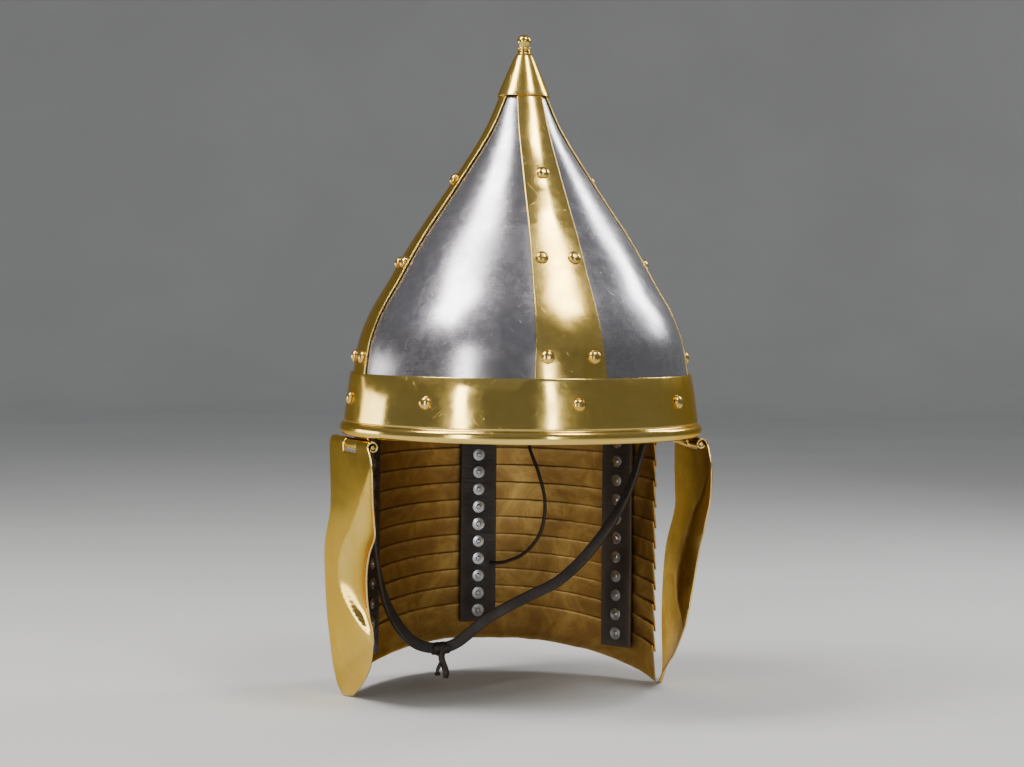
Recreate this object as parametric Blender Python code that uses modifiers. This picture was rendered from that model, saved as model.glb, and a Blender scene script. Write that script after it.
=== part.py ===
"""Conical banded helmet with hinged cheek pieces and a neck curtain of overlapping lames.

Four steel panels stand under four brass bands, a brow band and a turned cap. Twelve lames hang on
three leather straps behind, and a chin strap and a thin thong hang inside.

Units are metres, +Z is up and the helmet faces -Y. The origin is the centre of the head opening, in
the plane of the rim's lower edge. Angles round the helmet start at the front and grow towards +X,
the wearer's left. Every sheet is a grid or a profile laid on its outer face and thickened inwards.
"""

import math

import bmesh
import bpy
from mathutils import Matrix, Vector

# Clearances
SEAT_GAP = 0.0003          # between pieces that touch on the real helmet
BAND_GAP = 0.0005          # under a band, with room for the flats of the panels

# Steel shell
SHELL_RADIUS = 0.1078      # outer radius of the panels at their lower edge
SHELL_FOOT = 0.010         # height of that edge above the rim plane
SHELL_HEIGHT = 0.206       # from there to the upper edge, inside the cap
SHELL_TOP = SHELL_FOOT + SHELL_HEIGHT
PANEL_WALL = 0.0010
SHELL_ROWS = 12            # flats from foot to top
QUARTER_STEPS = 10         # flats across one panel
FLAT_ANGLE = math.radians(90.0 / QUARTER_STEPS)

# Ogee of the shell: share of its height, share of its radius
SHELL_FORM = (
    (0.000, 1.000),
    (0.136, 0.965),
    (0.238, 0.930),
    (0.320, 0.867),
    (0.406, 0.771),
    (0.532, 0.632),
    (0.712, 0.403),
    (0.873, 0.212),
    (1.000, 0.108),
)

# Bands over the seams
BAND_WALL = 0.0010
BAND_FOOT = SHELL_FOOT + 0.0030         # tucked behind the brow band
BAND_TOP = SHELL_TOP - 0.0015           # inside the cap
BAND_COLUMNS = 4
BAND_WIDTH = 0.044         # where the band meets the brow band
# Taper of a band: share of the way up, share of its width
BAND_FORM = (
    (0.00, 1.05),
    (0.12, 1.00),
    (0.48, 0.71),
    (0.74, 0.51),
    (1.00, 0.33),
)
# How far each band sits from its seam, round the helmet
BAND_TURNS = {
    "front": 0.0,
    "left": math.radians(-3.0),
    "back": 0.0,
    "right": math.radians(-4.0),
}

# Brow band and its lip
BROW_WALL = 0.0011
BROW_TOP = SHELL_FOOT + 0.028
BROW_STANDOFF = BAND_GAP + BAND_WALL + 0.0007   # over the bands, with room for its own flats
LIP_HEIGHT = 0.0075
LIP_REACH = 0.0023         # how far the lip stands out from the band's face
LIP_POINTS = 5

# Cap with its collar and ball
CAP_COVER = 0.0048         # how far it comes down over the bowl
CAP_FOOT = SHELL_TOP - CAP_COVER
CAP_HEIGHT = 0.0290        # height of the cone alone
CAP_WALL = 0.0010
CAP_TIP_RADIUS = 0.0040
CAP_NECK_RADIUS = CAP_TIP_RADIUS - 0.0011
COLLAR_RADIUS = CAP_TIP_RADIUS + 0.00045
COLLAR_HEIGHT = 0.0020
BALL_RADIUS = 0.0043
BALL_HEIGHT = 0.0078
BALL_LATITUDES = (55, 20, -15, -45)
CAP_STEPS = 20

# Rivets
RIVET_RADIUS = 0.0040
RIVET_HEIGHT = 0.0027
RIVET_SIDES = 8
BROW_RIVET_HEIGHT = (BROW_TOP + LIP_HEIGHT) / 2
BROW_RIVET_ANGLES = (1.5, 43.5, 90.0, 135.0, 180.0, 225.0, 270.0, 312.5)
# Rivets of one band: share of the shell's height, share of the band's width from its middle
BAND_RIVETS = (
    (0.732, 0.000),
    (0.479, -0.314),
    (0.479, 0.314),
    (0.197, -0.337),
    (0.197, 0.337),
)
SIDE_RIVET_DROP = 0.012    # share by which those of the other three bands sit lower

# Neck curtain
LAME_COUNT = 12
LAME_WALL = 0.0008
LAME_COLUMNS = 14
LAME_OVERLAP = 0.0042
LAME_LEAN = 0.0022         # how far a lame's lower edge stands out from its upper edge
LAST_LAME_HEIGHT = 0.0235
CURTAIN_RADIUS = SHELL_RADIUS - 0.0060  # outer face at the upper edge of a lame
CURTAIN_TOP = SHELL_FOOT - 0.0025
CURTAIN_HALF_ANGLE = math.radians(76.0)
PITCH_BACK = 0.0117
PITCH_END = 0.0136
CURTAIN_SPREAD = 0.0010    # how much wider the curtain's lower corners stand

# Leather straps that carry the lames
STRAP_WIDTH = 0.024
STRAP_WALL = 0.0020
STRAP_TOP = SHELL_FOOT + 0.023
STRAP_BEND_TOP = SHELL_FOOT + 0.0070    # above it the strap lies against the panels
STRAP_BEND_FOOT = CURTAIN_TOP + 0.0015  # below it the strap lies against the lames
SIDE_STRAP_ANGLE = math.radians(57.5)   # from the centre of the back
WASHER_RADIUS = 0.0040
WASHER_WALL = 0.0008
WASHER_SIDES = 6
WASHER_DROP = 0.0045       # from a lame's upper edge to its rivet

# Cheek hinge
BARREL_RADIUS = 0.0040     # the cheek piece's top edge, rolled round the pin
HINGE_RADIUS = SHELL_RADIUS + 0.0010    # from the helmet's axis to the middle of the pin
HINGE_DROP = BARREL_RADIUS + 0.0010     # pin below the rim plane
HINGE_ANGLE = math.radians(84.5)        # from the front to the middle of the pin
KNUCKLE_RADIUS = BARREL_RADIUS - 0.0004
KNUCKLE_HALF_WIDTH = 0.0127
LEAF_WALL = 0.0010
LEAF_TOP = SHELL_FOOT + 0.016
LEAF_SINK = 0.0006         # how deep the leaf's foot runs into the knuckle
PIN_SIDES = 12

# Cheek piece
CHEEK_WALL = 0.0011
CHEEK_LENGTH = 0.161       # from the pin down to the tip
CHEEK_REACH = 0.0575       # from the middle of the hinge back to the rearmost point
CHEEK_SWAY = 0.0080        # how far the edges stray from the plane of the pin
CHEEK_LEAN = 0.0015        # how far the tip leans in, so that the plate hangs level on its pin
CHEEK_COLUMNS = 8
ROLL_ROWS = 9
ROLL_ANGLE = math.radians(330.0)
ROLL_PITCH = CHEEK_WALL + 0.0004        # how far a full turn of the roll moves inwards
ROLL_END = BARREL_RADIUS - ROLL_PITCH * ROLL_ANGLE / (2 * math.pi)
PIN_RADIUS = ROLL_END * math.cos(ROLL_ANGLE / ROLL_ROWS / 2) - CHEEK_WALL - SEAT_GAP
NOTCH_COLUMNS = (2, 5)     # columns that the knuckle's notch lies between
NOTCH_ROWS = 1             # rows of the plate that the notch reaches into
# Edges of the plate: share of its length, then the front edge's and the rear edge's places as
# shares of the reach, then how far out each stands as a share of the sway
CHEEK_FORM = (
    (0.000, 0.591, -0.713, 0.50, 0.50),
    (0.031, 0.678, -0.722, 0.50, 0.50),
    (0.075, 0.748, -0.713, 0.54, 0.50),
    (0.140, 0.765, -0.696, 0.55, 0.50),
    (0.210, 0.757, -0.678, 0.50, 0.52),
    (0.270, 0.730, -0.678, 0.35, 0.57),
    (0.330, 0.687, -0.765, 0.19, 0.57),
    (0.390, 0.539, -0.887, 0.22, 0.52),
    (0.460, 0.435, -0.974, 0.22, 0.42),
    (0.545, 0.374, -1.000, 0.10, 0.32),
    (0.630, 0.348, -1.000, -0.12, 0.25),
    (0.700, 0.357, -0.983, -0.40, 0.19),
    (0.775, 0.261, -0.939, -0.65, 0.12),
    (0.850, 0.087, -0.878, -0.87, 0.06),
    (0.910, -0.139, -0.817, -1.02, 0.00),
    (0.960, -0.348, -0.748, -1.00, -0.12),
    (1.000, -0.522, -0.670, -0.90, -0.37),
)
# Hollow ahead of the crease: share of the length, place of the crease as a share of the width
CREASE_DEPTH = 0.0045
CREASE_FADE = 0.4          # width ahead of the crease below which the hollow gets shallower
CREASE_FORM = (
    (0.06, 1.00),
    (0.18, 0.80),
    (0.30, 0.56),
    (0.42, 0.42),
    (0.55, 0.37),
    (0.64, 0.62),
    (0.74, 1.00),
)

# Cords
CHIN_STRAP_WIDTH = 0.0070
CHIN_STRAP_SPACING = 0.0115
# Route of the chin strap as shares of the shell's radius, from the wearer's left over its lowest
# point to the right
CHIN_STRAP_ROUTE = (
    (0.9610, 0.1299, 0.1484),
    (0.9045, 0.1252, 0.1391),
    (0.8534, 0.1224, 0.0788),
    (0.8210, 0.1224, -0.0464),
    (0.7050, 0.1438, -0.3989),
    (0.5056, 0.1670, -0.7032),
    (0.2922, 0.1716, -0.8998),
    (0.1058, 0.1716, -0.9852),
    (-0.1354, 0.1716, -1.1039),
    (-0.3850, 0.1670, -1.2662),
    (-0.5751, 0.1688, -1.2430),
    (-0.7328, 0.1763, -1.0482),
    (-0.8163, 0.1855, -0.7236),
    (-0.8488, 0.1855, -0.3247),
    (-0.8581, 0.1855, 0.0093),
    (-0.8813, 0.1855, 0.1020),
    (-0.9406, 0.1976, 0.1438),
)
THONG_DIAMETER = 0.0023
THONG_SPACING = 0.0050
# Route of the thong as shares of the shell's radius, from the shell behind on the left to the
# middle strap
THONG_ROUTE = (
    (0.3015, 0.9276, 0.1299),
    (0.2950, 0.8766, 0.1020),
    (0.2876, 0.8256, 0.0000),
    (0.2894, 0.7792, -0.1299),
    (0.3340, 0.7050, -0.3061),
    (0.3618, 0.6679, -0.4824),
    (0.3386, 0.6818, -0.6586),
    (0.2597, 0.7375, -0.7885),
    (0.1577, 0.8163, -0.8534),
    (0.0788, 0.8924, -0.8720),
)


# Curves and places

def read_curve(rows, at):
    """Read the smooth curve through rows of (place, value) at one place."""
    places = [row[0] for row in rows]
    values = [row[1] for row in rows]
    slopes = [(values[i + 1] - values[i]) / (places[i + 1] - places[i])
              for i in range(len(rows) - 1)]
    tangents = [slopes[0]]
    tangents += [(slopes[i] + slopes[i + 1]) / 2 for i in range(len(slopes) - 1)]
    tangents.append(slopes[-1])
    if at <= places[0]:
        return values[0] + tangents[0] * (at - places[0])
    if at >= places[-1]:
        return values[-1] + tangents[-1] * (at - places[-1])
    i = max(index for index, place in enumerate(places) if place <= at)
    span = places[i + 1] - places[i]
    t = (at - places[i]) / span
    return ((2 * t**3 - 3 * t**2 + 1) * values[i] + (t**3 - 2 * t**2 + t) * span * tangents[i]
            + (3 * t**2 - 2 * t**3) * values[i + 1] + (t**3 - t**2) * span * tangents[i + 1])


def shell_radius(height):
    """Outer radius of the steel shell at a height above the rim plane."""
    return SHELL_RADIUS * read_curve(SHELL_FORM, (height - SHELL_FOOT) / SHELL_HEIGHT)


def shell_section(height, offset=0.0):
    """Radius and height of the point that stands off the shell's outer face."""
    reach = SHELL_HEIGHT / SHELL_ROWS / 4
    slope = (shell_radius(height + reach) - shell_radius(height - reach)) / (2 * reach)
    outward = Vector((1.0, -slope)).normalized()
    return shell_radius(height) + offset * outward.x, height + offset * outward.y


def around(radius, angle, height):
    """Point at an angle from the front."""
    return Vector((radius * math.sin(angle), -radius * math.cos(angle), height))


def shell_point(height, angle, offset):
    """Point that stands off the shell's outer face at an angle from the front."""
    radius, level = shell_section(height, offset)
    return around(radius, angle, level)


def shell_heights(foot, top):
    """Heights of the shell's rows between two ends, so that every layer has the same flats."""
    step = SHELL_HEIGHT / SHELL_ROWS
    rows = [SHELL_FOOT + step * row for row in range(SHELL_ROWS + 1)]
    inner = [height for height in rows if foot + step / 4 < height < top - step / 4]
    return [foot] + inner + [top]


# Objects

def make_material(name, colour, roughness, metallic):
    """Make a Principled material."""
    material = bpy.data.materials.new(name)
    material.use_nodes = True
    shader = material.node_tree.nodes["Principled BSDF"]
    shader.inputs["Base Color"].default_value = (*colour, 1.0)
    shader.inputs["Roughness"].default_value = roughness
    shader.inputs["Metallic"].default_value = metallic
    return material


def add_object(name, data, material, collection):
    """Add an object with its material to a collection."""
    item = bpy.data.objects.new(name, data)
    if material:
        data.materials.append(material)
    collection.objects.link(item)
    return item


def finish_mesh(name, bm, smooth_angle=math.radians(35)):
    """Turn a bmesh into a mesh, smooth where its faces meet at less than an angle."""
    mesh = bpy.data.meshes.new(name)
    bm.to_mesh(mesh)
    bm.free()
    mesh.shade_smooth()
    mesh.set_sharp_from_angle(angle=smooth_angle)
    return mesh


def grid_mesh(name, columns, rows, place, mirrored=False, dropped=None):
    """Lay a grid on a surface that place(column, row) gives, less the cells that are dropped."""
    bm = bmesh.new()
    bmesh.ops.create_grid(bm, x_segments=columns, y_segments=rows, size=0.5)
    spots = {vert: (round((vert.co.x + 0.5) * columns), round((vert.co.y + 0.5) * rows))
             for vert in bm.verts}
    if dropped:
        cells = [face for face in bm.faces
                 if dropped(min(spots[vert][0] for vert in face.verts),
                            min(spots[vert][1] for vert in face.verts))]
        bmesh.ops.delete(bm, geom=cells, context="FACES")
    for vert in bm.verts:
        vert.co = place(*spots[vert])
    if mirrored:
        bmesh.ops.reverse_faces(bm, faces=bm.faces[:])
    return finish_mesh(name, bm)


def thicken(item, wall):
    """Give a sheet its wall, inwards from the face that was modelled."""
    solidify = item.modifiers.new("Wall", "SOLIDIFY")
    solidify.thickness = wall
    solidify.offset = -1.0
    solidify.use_even_offset = True


def profile_mesh(name, points, closed):
    """Make a profile in the XZ plane, ready to be turned round Z."""
    bm = bmesh.new()
    verts = [bm.verts.new((radius, 0.0, height)) for radius, height in points]
    for first, second in zip(verts, verts[1:]):
        bm.edges.new((first, second))
    if closed:
        bm.edges.new((verts[-1], verts[0]))
    mesh = bpy.data.meshes.new(name)
    bm.to_mesh(mesh)
    bm.free()
    return mesh


def turn(item, steps, angle=2 * math.pi):
    """Turn a profile round Z."""
    screw = item.modifiers.new("Turn", "SCREW")
    screw.angle = angle
    screw.steps = steps
    screw.render_steps = steps
    screw.use_merge_vertices = True
    screw.merge_threshold = 0.00001
    screw.use_smooth_shade = True


def unite(item, other, cutters):
    """Fuse another object into an item and keep the other as a hidden guide."""
    for user in list(other.users_collection):
        user.objects.unlink(other)
    cutters.objects.link(other)
    other.hide_render = True
    other.display_type = "WIRE"
    boolean = item.modifiers.new("Fuse " + other.name, "BOOLEAN")
    boolean.operation = "UNION"
    boolean.solver = "EXACT"
    boolean.object = other


# Bowl

def build_panels(steel, collection):
    """Four quarter shells, each moved out of its seams by half the gap."""
    profile = [shell_section(height) for height in shell_heights(SHELL_FOOT, SHELL_TOP)]
    profile.reverse()
    for quarter, side in enumerate(("back_left", "back_right", "front_right", "front_left")):
        name = "panel_" + side
        panel = add_object(name, profile_mesh(name, profile, closed=False), steel, collection)
        turn(panel, QUARTER_STEPS, math.pi / 2)
        thicken(panel, PANEL_WALL)
        panel.rotation_euler.z = quarter * math.pi / 2
        panel.location = Matrix.Rotation(panel.rotation_euler.z, 3, "Z") @ Vector(
            (SEAT_GAP / 2, SEAT_GAP / 2, 0.0))


def band_angle(height, width_share):
    """Angle from a band's middle to a share of its width, at a height."""
    width = BAND_WIDTH * read_curve(BAND_FORM, (height - BAND_FOOT) / (BAND_TOP - BAND_FOOT))
    return width_share * width / shell_radius(height)


def build_bands(brass, collection):
    """Four tapering bands over the seams."""
    heights = shell_heights(BAND_FOOT, BAND_TOP)
    rows = len(heights) - 1

    def place(column, row):
        height = heights[row]
        return shell_point(height, band_angle(height, column / BAND_COLUMNS - 0.5),
                           BAND_GAP + BAND_WALL)

    for quarter, side in enumerate(BAND_TURNS):
        name = "band_" + side
        band = add_object(name, grid_mesh(name, BAND_COLUMNS, rows, place), brass, collection)
        band.rotation_euler.z = quarter * math.pi / 2 + BAND_TURNS[side]
        thicken(band, BAND_WALL)


def brow_profile():
    """Section of the brow band, down its outer side, round the lip and up inside."""
    outer = BROW_STANDOFF + BROW_WALL
    middle = (BROW_TOP + LIP_HEIGHT) / 2
    points = [shell_section(BROW_TOP, outer), shell_section(middle, outer)]
    face = shell_section(LIP_HEIGHT, outer)[0]
    for step in range(LIP_POINTS):
        angle = math.pi / 2 - math.pi * step / (LIP_POINTS - 1)
        points.append((face + LIP_REACH * math.cos(angle), LIP_HEIGHT / 2 * (1 + math.sin(angle))))
    inner = shell_section(LIP_HEIGHT, BROW_STANDOFF)[0]
    points += [(inner, LIP_HEIGHT / 4), shell_section(LIP_HEIGHT, BROW_STANDOFF)]
    points += [shell_section(middle, BROW_STANDOFF), shell_section(BROW_TOP, BROW_STANDOFF)]
    return points


def build_brow_band(brass, collection):
    """Ring round the foot of the bowl."""
    mesh = profile_mesh("brow_band", brow_profile(), closed=True)
    turn(add_object("brow_band", mesh, brass, collection), 4 * QUARTER_STEPS)


def build_finial(brass, collection):
    """Cone cap, collar and ball, turned in one piece and hollow under the cone."""
    layers = BAND_GAP + BAND_WALL + SEAT_GAP
    inner_foot = shell_section(CAP_FOOT, layers)[0] / math.cos(math.pi / CAP_STEPS) + SEAT_GAP / 2
    cone_top = CAP_FOOT + CAP_HEIGHT
    collar_top = cone_top + COLLAR_HEIGHT
    ball_centre = collar_top + BALL_HEIGHT / 2
    points = [(0.0, ball_centre + BALL_HEIGHT / 2)]
    for degrees in BALL_LATITUDES:
        angle = math.radians(degrees)
        points.append((BALL_RADIUS * math.cos(angle),
                       ball_centre + BALL_HEIGHT / 2 * math.sin(angle)))
    points += [
        (CAP_NECK_RADIUS, collar_top + COLLAR_HEIGHT / 4),
        (COLLAR_RADIUS, collar_top),
        (COLLAR_RADIUS, cone_top + COLLAR_HEIGHT / 3),
        (CAP_TIP_RADIUS, cone_top),
        (inner_foot + CAP_WALL, CAP_FOOT),
        (inner_foot, CAP_FOOT),
        (CAP_TIP_RADIUS - CAP_WALL, cone_top - CAP_WALL),
        (0.0, cone_top - CAP_WALL),
    ]
    turn(add_object("finial_cap", profile_mesh("finial_cap", points, closed=False), brass,
                    collection), CAP_STEPS)


# Rivets

def rivet_mesh():
    """Low dome with a flat seat."""
    bm = bmesh.new()
    bmesh.ops.create_uvsphere(bm, u_segments=RIVET_SIDES, v_segments=4, radius=1.0)
    bmesh.ops.delete(bm, geom=[v for v in bm.verts if v.co.z < -0.1], context="VERTS")
    rim = [edge for edge in bm.edges if edge.is_boundary]
    bmesh.ops.contextual_create(bm, geom=rim)
    bmesh.ops.scale(bm, vec=(RIVET_RADIUS, RIVET_RADIUS, RIVET_HEIGHT), verts=bm.verts[:])
    bmesh.ops.recalc_face_normals(bm, faces=bm.faces[:])
    return finish_mesh("rivet", bm)


def seat_rivet(name, mesh, height, angle, offset, collection):
    """Stand a rivet on the shell's layers at a height and an angle."""
    rivet = bpy.data.objects.new(name, mesh)
    collection.objects.link(rivet)
    foot = shell_point(height, angle, offset)
    tip = shell_point(height, angle, offset + RIVET_HEIGHT)
    rivet.location = foot
    rivet.rotation_euler = (tip - foot).to_track_quat("Z", "Y").to_euler()


def build_rivets(brass, collection):
    """Five rivets on each band and a ring of them round the brow band."""
    mesh = rivet_mesh()
    mesh.materials.append(brass)
    on_band = BAND_GAP + BAND_WALL + SEAT_GAP
    for quarter, side in enumerate(BAND_TURNS):
        for number, (share, aside) in enumerate(BAND_RIVETS, start=1):
            if side != "front":
                share -= SIDE_RIVET_DROP
            height = SHELL_FOOT + SHELL_HEIGHT * share
            angle = quarter * math.pi / 2 + BAND_TURNS[side] + band_angle(height, aside)
            seat_rivet(f"rivet_{side}_{number}", mesh, height, angle, on_band, collection)
    on_brow = BROW_STANDOFF + BROW_WALL + SEAT_GAP
    for number, degrees in enumerate(BROW_RIVET_ANGLES, start=1):
        seat_rivet(f"rivet_brow_{number}", mesh, BROW_RIVET_HEIGHT, math.radians(degrees), on_brow,
                   collection)


# Neck curtain

def curtain_pitch(angle):
    """Distance from one lame to the next at an angle from the centre of the back."""
    return PITCH_BACK + (PITCH_END - PITCH_BACK) * (angle / CURTAIN_HALF_ANGLE) ** 2


def curtain_radius(order, angle):
    """Radius of a lame's outer face at its upper edge, which grows towards the lower corners."""
    share = order / (LAME_COUNT - 1)
    return CURTAIN_RADIUS + CURTAIN_SPREAD * share * (angle / CURTAIN_HALF_ANGLE) ** 2


def build_lames(brass, collection):
    """Overlapping lames, each with its lower edge over the next one's upper edge."""
    for order in range(LAME_COUNT):
        last = order == LAME_COUNT - 1

        def place(column, row, order=order, last=last):
            angle = CURTAIN_HALF_ANGLE * (2 * column / LAME_COLUMNS - 1)
            pitch = curtain_pitch(angle)
            height = LAST_LAME_HEIGHT if last else pitch + LAME_OVERLAP
            top = CURTAIN_TOP - pitch * order
            lean = LAME_LEAN * (1 - row)
            return around(curtain_radius(order, angle) + lean, math.pi + angle,
                          top - height * (1 - row))

        name = f"lame_{order + 1:02d}"
        lame = add_object(name, grid_mesh(name, LAME_COLUMNS, 1, place), brass, collection)
        thicken(lame, LAME_WALL)


def strap_path(angle):
    """Heights and outer radii of a curtain strap from its foot to its top."""
    step = 2 * CURTAIN_HALF_ANGLE / LAME_COLUMNS
    flat = math.cos(step / 2)
    pitch = curtain_pitch(angle)
    path = []
    for order in range(LAME_COUNT, -1, -1):
        level = CURTAIN_TOP - pitch * order
        radius = (curtain_radius(order, angle) - LAME_WALL) * flat - SEAT_GAP
        path.append((min(level, STRAP_BEND_FOOT), radius))
    path[-1] = (STRAP_BEND_FOOT, path[-1][1])
    for level in (STRAP_BEND_TOP, STRAP_TOP):
        inside = (shell_section(level, -PANEL_WALL)[0]) * math.cos(FLAT_ANGLE / 2)
        path.append((level, inside - 2 * SEAT_GAP))
    return path


def build_strap(name, angle, leather, collection, cutters):
    """Leather strap with a round washer behind each lame's rivet."""
    path = strap_path(angle)

    def place(column, row):
        level, radius = path[row]
        return around(radius, math.pi + angle + (column / 2 - 0.5) * STRAP_WIDTH / radius, level)

    strap = add_object(name, grid_mesh(name, 2, len(path) - 1, place), leather, collection)
    thicken(strap, STRAP_WALL)

    bm = bmesh.new()
    sunk = WASHER_WALL / 4
    for order in range(LAME_COUNT):
        level = CURTAIN_TOP - curtain_pitch(angle) * order - WASHER_DROP
        radius = (curtain_radius(order, angle) - LAME_WALL)
        radius = radius * math.cos(CURTAIN_HALF_ANGLE / LAME_COLUMNS) - SEAT_GAP - STRAP_WALL
        middle = around(radius + sunk - WASHER_WALL / 2, math.pi + angle, level)
        turned = Matrix.Rotation(math.pi + angle, 4, "Z") @ Matrix.Rotation(math.pi / 2, 4, "X")
        bmesh.ops.create_cone(bm, cap_ends=True, segments=WASHER_SIDES, radius1=WASHER_RADIUS,
                              radius2=WASHER_RADIUS, depth=WASHER_WALL,
                              matrix=Matrix.Translation(middle) @ turned)
    washers = add_object(name + "_washers", finish_mesh(name + "_washers", bm), None, collection)
    unite(strap, washers, cutters)


def build_straps(leather, collection, cutters):
    """Three straps behind the lames."""
    build_strap("curtain_strap_back", 0.0, leather, collection, cutters)
    build_strap("curtain_strap_right", SIDE_STRAP_ANGLE, leather, collection, cutters)
    build_strap("curtain_strap_left", -SIDE_STRAP_ANGLE, leather, collection, cutters)


# Cheek pieces

def crease_depth(share, width_share):
    """Depth of the hollow between the crease and the front edge."""
    if not CREASE_FORM[0][0] < share < CREASE_FORM[-1][0]:
        return 0.0
    crease = min(read_curve(CREASE_FORM, share), 0.99)
    ahead = max(0.0, (width_share - crease) / (1 - crease))
    return CREASE_DEPTH * 4 * ahead * (1 - ahead) * min(1.0, (1 - crease) / CREASE_FADE)


def cheek_offset(section, along):
    """How far out from the pin the plate's outer face stands, at a place between its edges."""
    share, front, rear, front_sway, rear_sway = section
    width_share = (along / CHEEK_REACH - rear) / (front - rear)
    sway = rear_sway + (front_sway - rear_sway) * width_share ** 2
    return CHEEK_SWAY * sway - CHEEK_LEAN * share - crease_depth(share, width_share)


def cheek_along(column, front, rear, notch_share):
    """Place of a column between the front and rear edges, drawn to the notch near the top."""
    even = front + (rear - front) * column / CHEEK_COLUMNS
    notch = KNUCKLE_HALF_WIDTH + SEAT_GAP
    first, last = NOTCH_COLUMNS
    if column <= first:
        drawn = front + (notch - front) * column / first
    elif column <= last:
        drawn = notch - 2 * notch * (column - first) / (last - first)
    else:
        drawn = -notch + (rear + notch) * (column - last) / (CHEEK_COLUMNS - last)
    return even + (drawn - even) * notch_share


def barrel_ends():
    """Places of the barrel's front and rear ends, at the top of the plate's edges."""
    return CHEEK_REACH * CHEEK_FORM[0][1], CHEEK_REACH * CHEEK_FORM[0][2]


def cheek_point(column, row):
    """Outward, forward and upward distance from the hinge of a point on the sheet."""
    plate_rows = len(CHEEK_FORM) - 1
    if row > plate_rows:
        turned = ROLL_ANGLE * (row - plate_rows) / ROLL_ROWS
        radius = BARREL_RADIUS - ROLL_PITCH * turned / (2 * math.pi)
        along = cheek_along(column, *barrel_ends(), 1.0)
        return radius * math.cos(turned), along, radius * math.sin(turned)
    section = CHEEK_FORM[plate_rows - row]
    share, front, rear = section[:3]
    notch_share = max(0.0, min(1.0, (CHEEK_FORM[4][0] - share) / CHEEK_FORM[2][0]))
    along = cheek_along(column, CHEEK_REACH * front, CHEEK_REACH * rear, notch_share)
    return cheek_offset(section, along), along, -CHEEK_LENGTH * share


def hinge_frame(item, side):
    """Place an item in the frame of a hinge: X outward, -Y forward, at the middle of the pin."""
    item.location = around(HINGE_RADIUS, side * HINGE_ANGLE, -HINGE_DROP)
    item.rotation_euler.z = side * (HINGE_ANGLE - math.pi / 2)


def build_cheek(name, side, brass, collection):
    """Sheet with its top edge rolled round the pin and notched for the knuckle."""
    plate_rows = len(CHEEK_FORM) - 1

    def place(column, row):
        outward, forward, upward = cheek_point(column, row)
        return Vector((side * outward, -forward, upward))

    def in_notch(column, row):
        return NOTCH_COLUMNS[0] <= column < NOTCH_COLUMNS[1] and row >= plate_rows - NOTCH_ROWS

    mesh = grid_mesh(name, CHEEK_COLUMNS, plate_rows + ROLL_ROWS, place, side < 0, in_notch)
    cheek = add_object(name, mesh, brass, collection)
    hinge_frame(cheek, side)
    thicken(cheek, CHEEK_WALL)


def build_hinge(name, side, brass, collection, cutters):
    """Pin and knuckle turned in one, fused to the leaf that goes up inside the shell."""
    front, rear = barrel_ends()
    pin_front = front - SEAT_GAP
    pin_rear = rear + SEAT_GAP
    profile = [
        (0.0, pin_front),
        (PIN_RADIUS, pin_front),
        (PIN_RADIUS, KNUCKLE_HALF_WIDTH),
        (KNUCKLE_RADIUS, KNUCKLE_HALF_WIDTH),
        (KNUCKLE_RADIUS, -KNUCKLE_HALF_WIDTH),
        (PIN_RADIUS, -KNUCKLE_HALF_WIDTH),
        (PIN_RADIUS, pin_rear),
        (0.0, pin_rear),
    ]
    hinge = add_object(name, profile_mesh(name, profile, closed=False), brass, collection)
    turn(hinge, PIN_SIDES)
    hinge_frame(hinge, side)
    hinge.rotation_euler = (Matrix.Rotation(hinge.rotation_euler.z, 3, "Z")
                            @ Matrix.Rotation(math.pi / 2, 3, "X")).to_euler()

    bm = bmesh.new()
    bmesh.ops.create_cube(bm, size=1.0)
    foot_face = LEAF_SINK - KNUCKLE_RADIUS
    shell_flat = shell_section(LEAF_TOP, -PANEL_WALL)[0] * math.cos(FLAT_ANGLE / 2)
    top_face = math.sqrt(shell_flat**2 - KNUCKLE_HALF_WIDTH**2) - SEAT_GAP - HINGE_RADIUS
    height = LEAF_TOP + HINGE_DROP
    for vert in bm.verts:
        up = vert.co.z + 0.5
        face = foot_face + (top_face - foot_face) * up
        outward = face if vert.co.x > 0 else face - LEAF_WALL
        vert.co = (side * outward, vert.co.y * 2 * KNUCKLE_HALF_WIDTH, height * up)
    bmesh.ops.recalc_face_normals(bm, faces=bm.faces[:])
    leaf = add_object(name + "_leaf", finish_mesh(name + "_leaf", bm), None, collection)
    hinge_frame(leaf, side)
    unite(hinge, leaf, cutters)


# Cords

def cord_points(route, spacing):
    """Even points on the smooth curve through a route."""
    points = [SHELL_RADIUS * Vector(point) for point in route]
    lengths = [0.0]
    for first, second in zip(points, points[1:]):
        lengths.append(lengths[-1] + (second - first).length)
    steps = round(lengths[-1] / spacing)
    axes = [[(length, point[axis]) for length, point in zip(lengths, points)] for axis in range(3)]
    return [[read_curve(axis, lengths[-1] * step / steps) for axis in axes]
            for step in range(steps + 1)]


def build_cord(name, route, spacing, diameter, leather, collection):
    """Round tube along a route."""
    points = cord_points(route, spacing)
    curve = bpy.data.curves.new(name, "CURVE")
    curve.dimensions = "3D"
    curve.bevel_depth = diameter / 2
    curve.bevel_resolution = 2
    curve.use_fill_caps = True
    spline = curve.splines.new("POLY")
    spline.points.add(len(points) - 1)
    for spot, point in zip(spline.points, points):
        spot.co = (*point, 1.0)
    spline.use_smooth = True
    add_object(name, curve, leather, collection)


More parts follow.
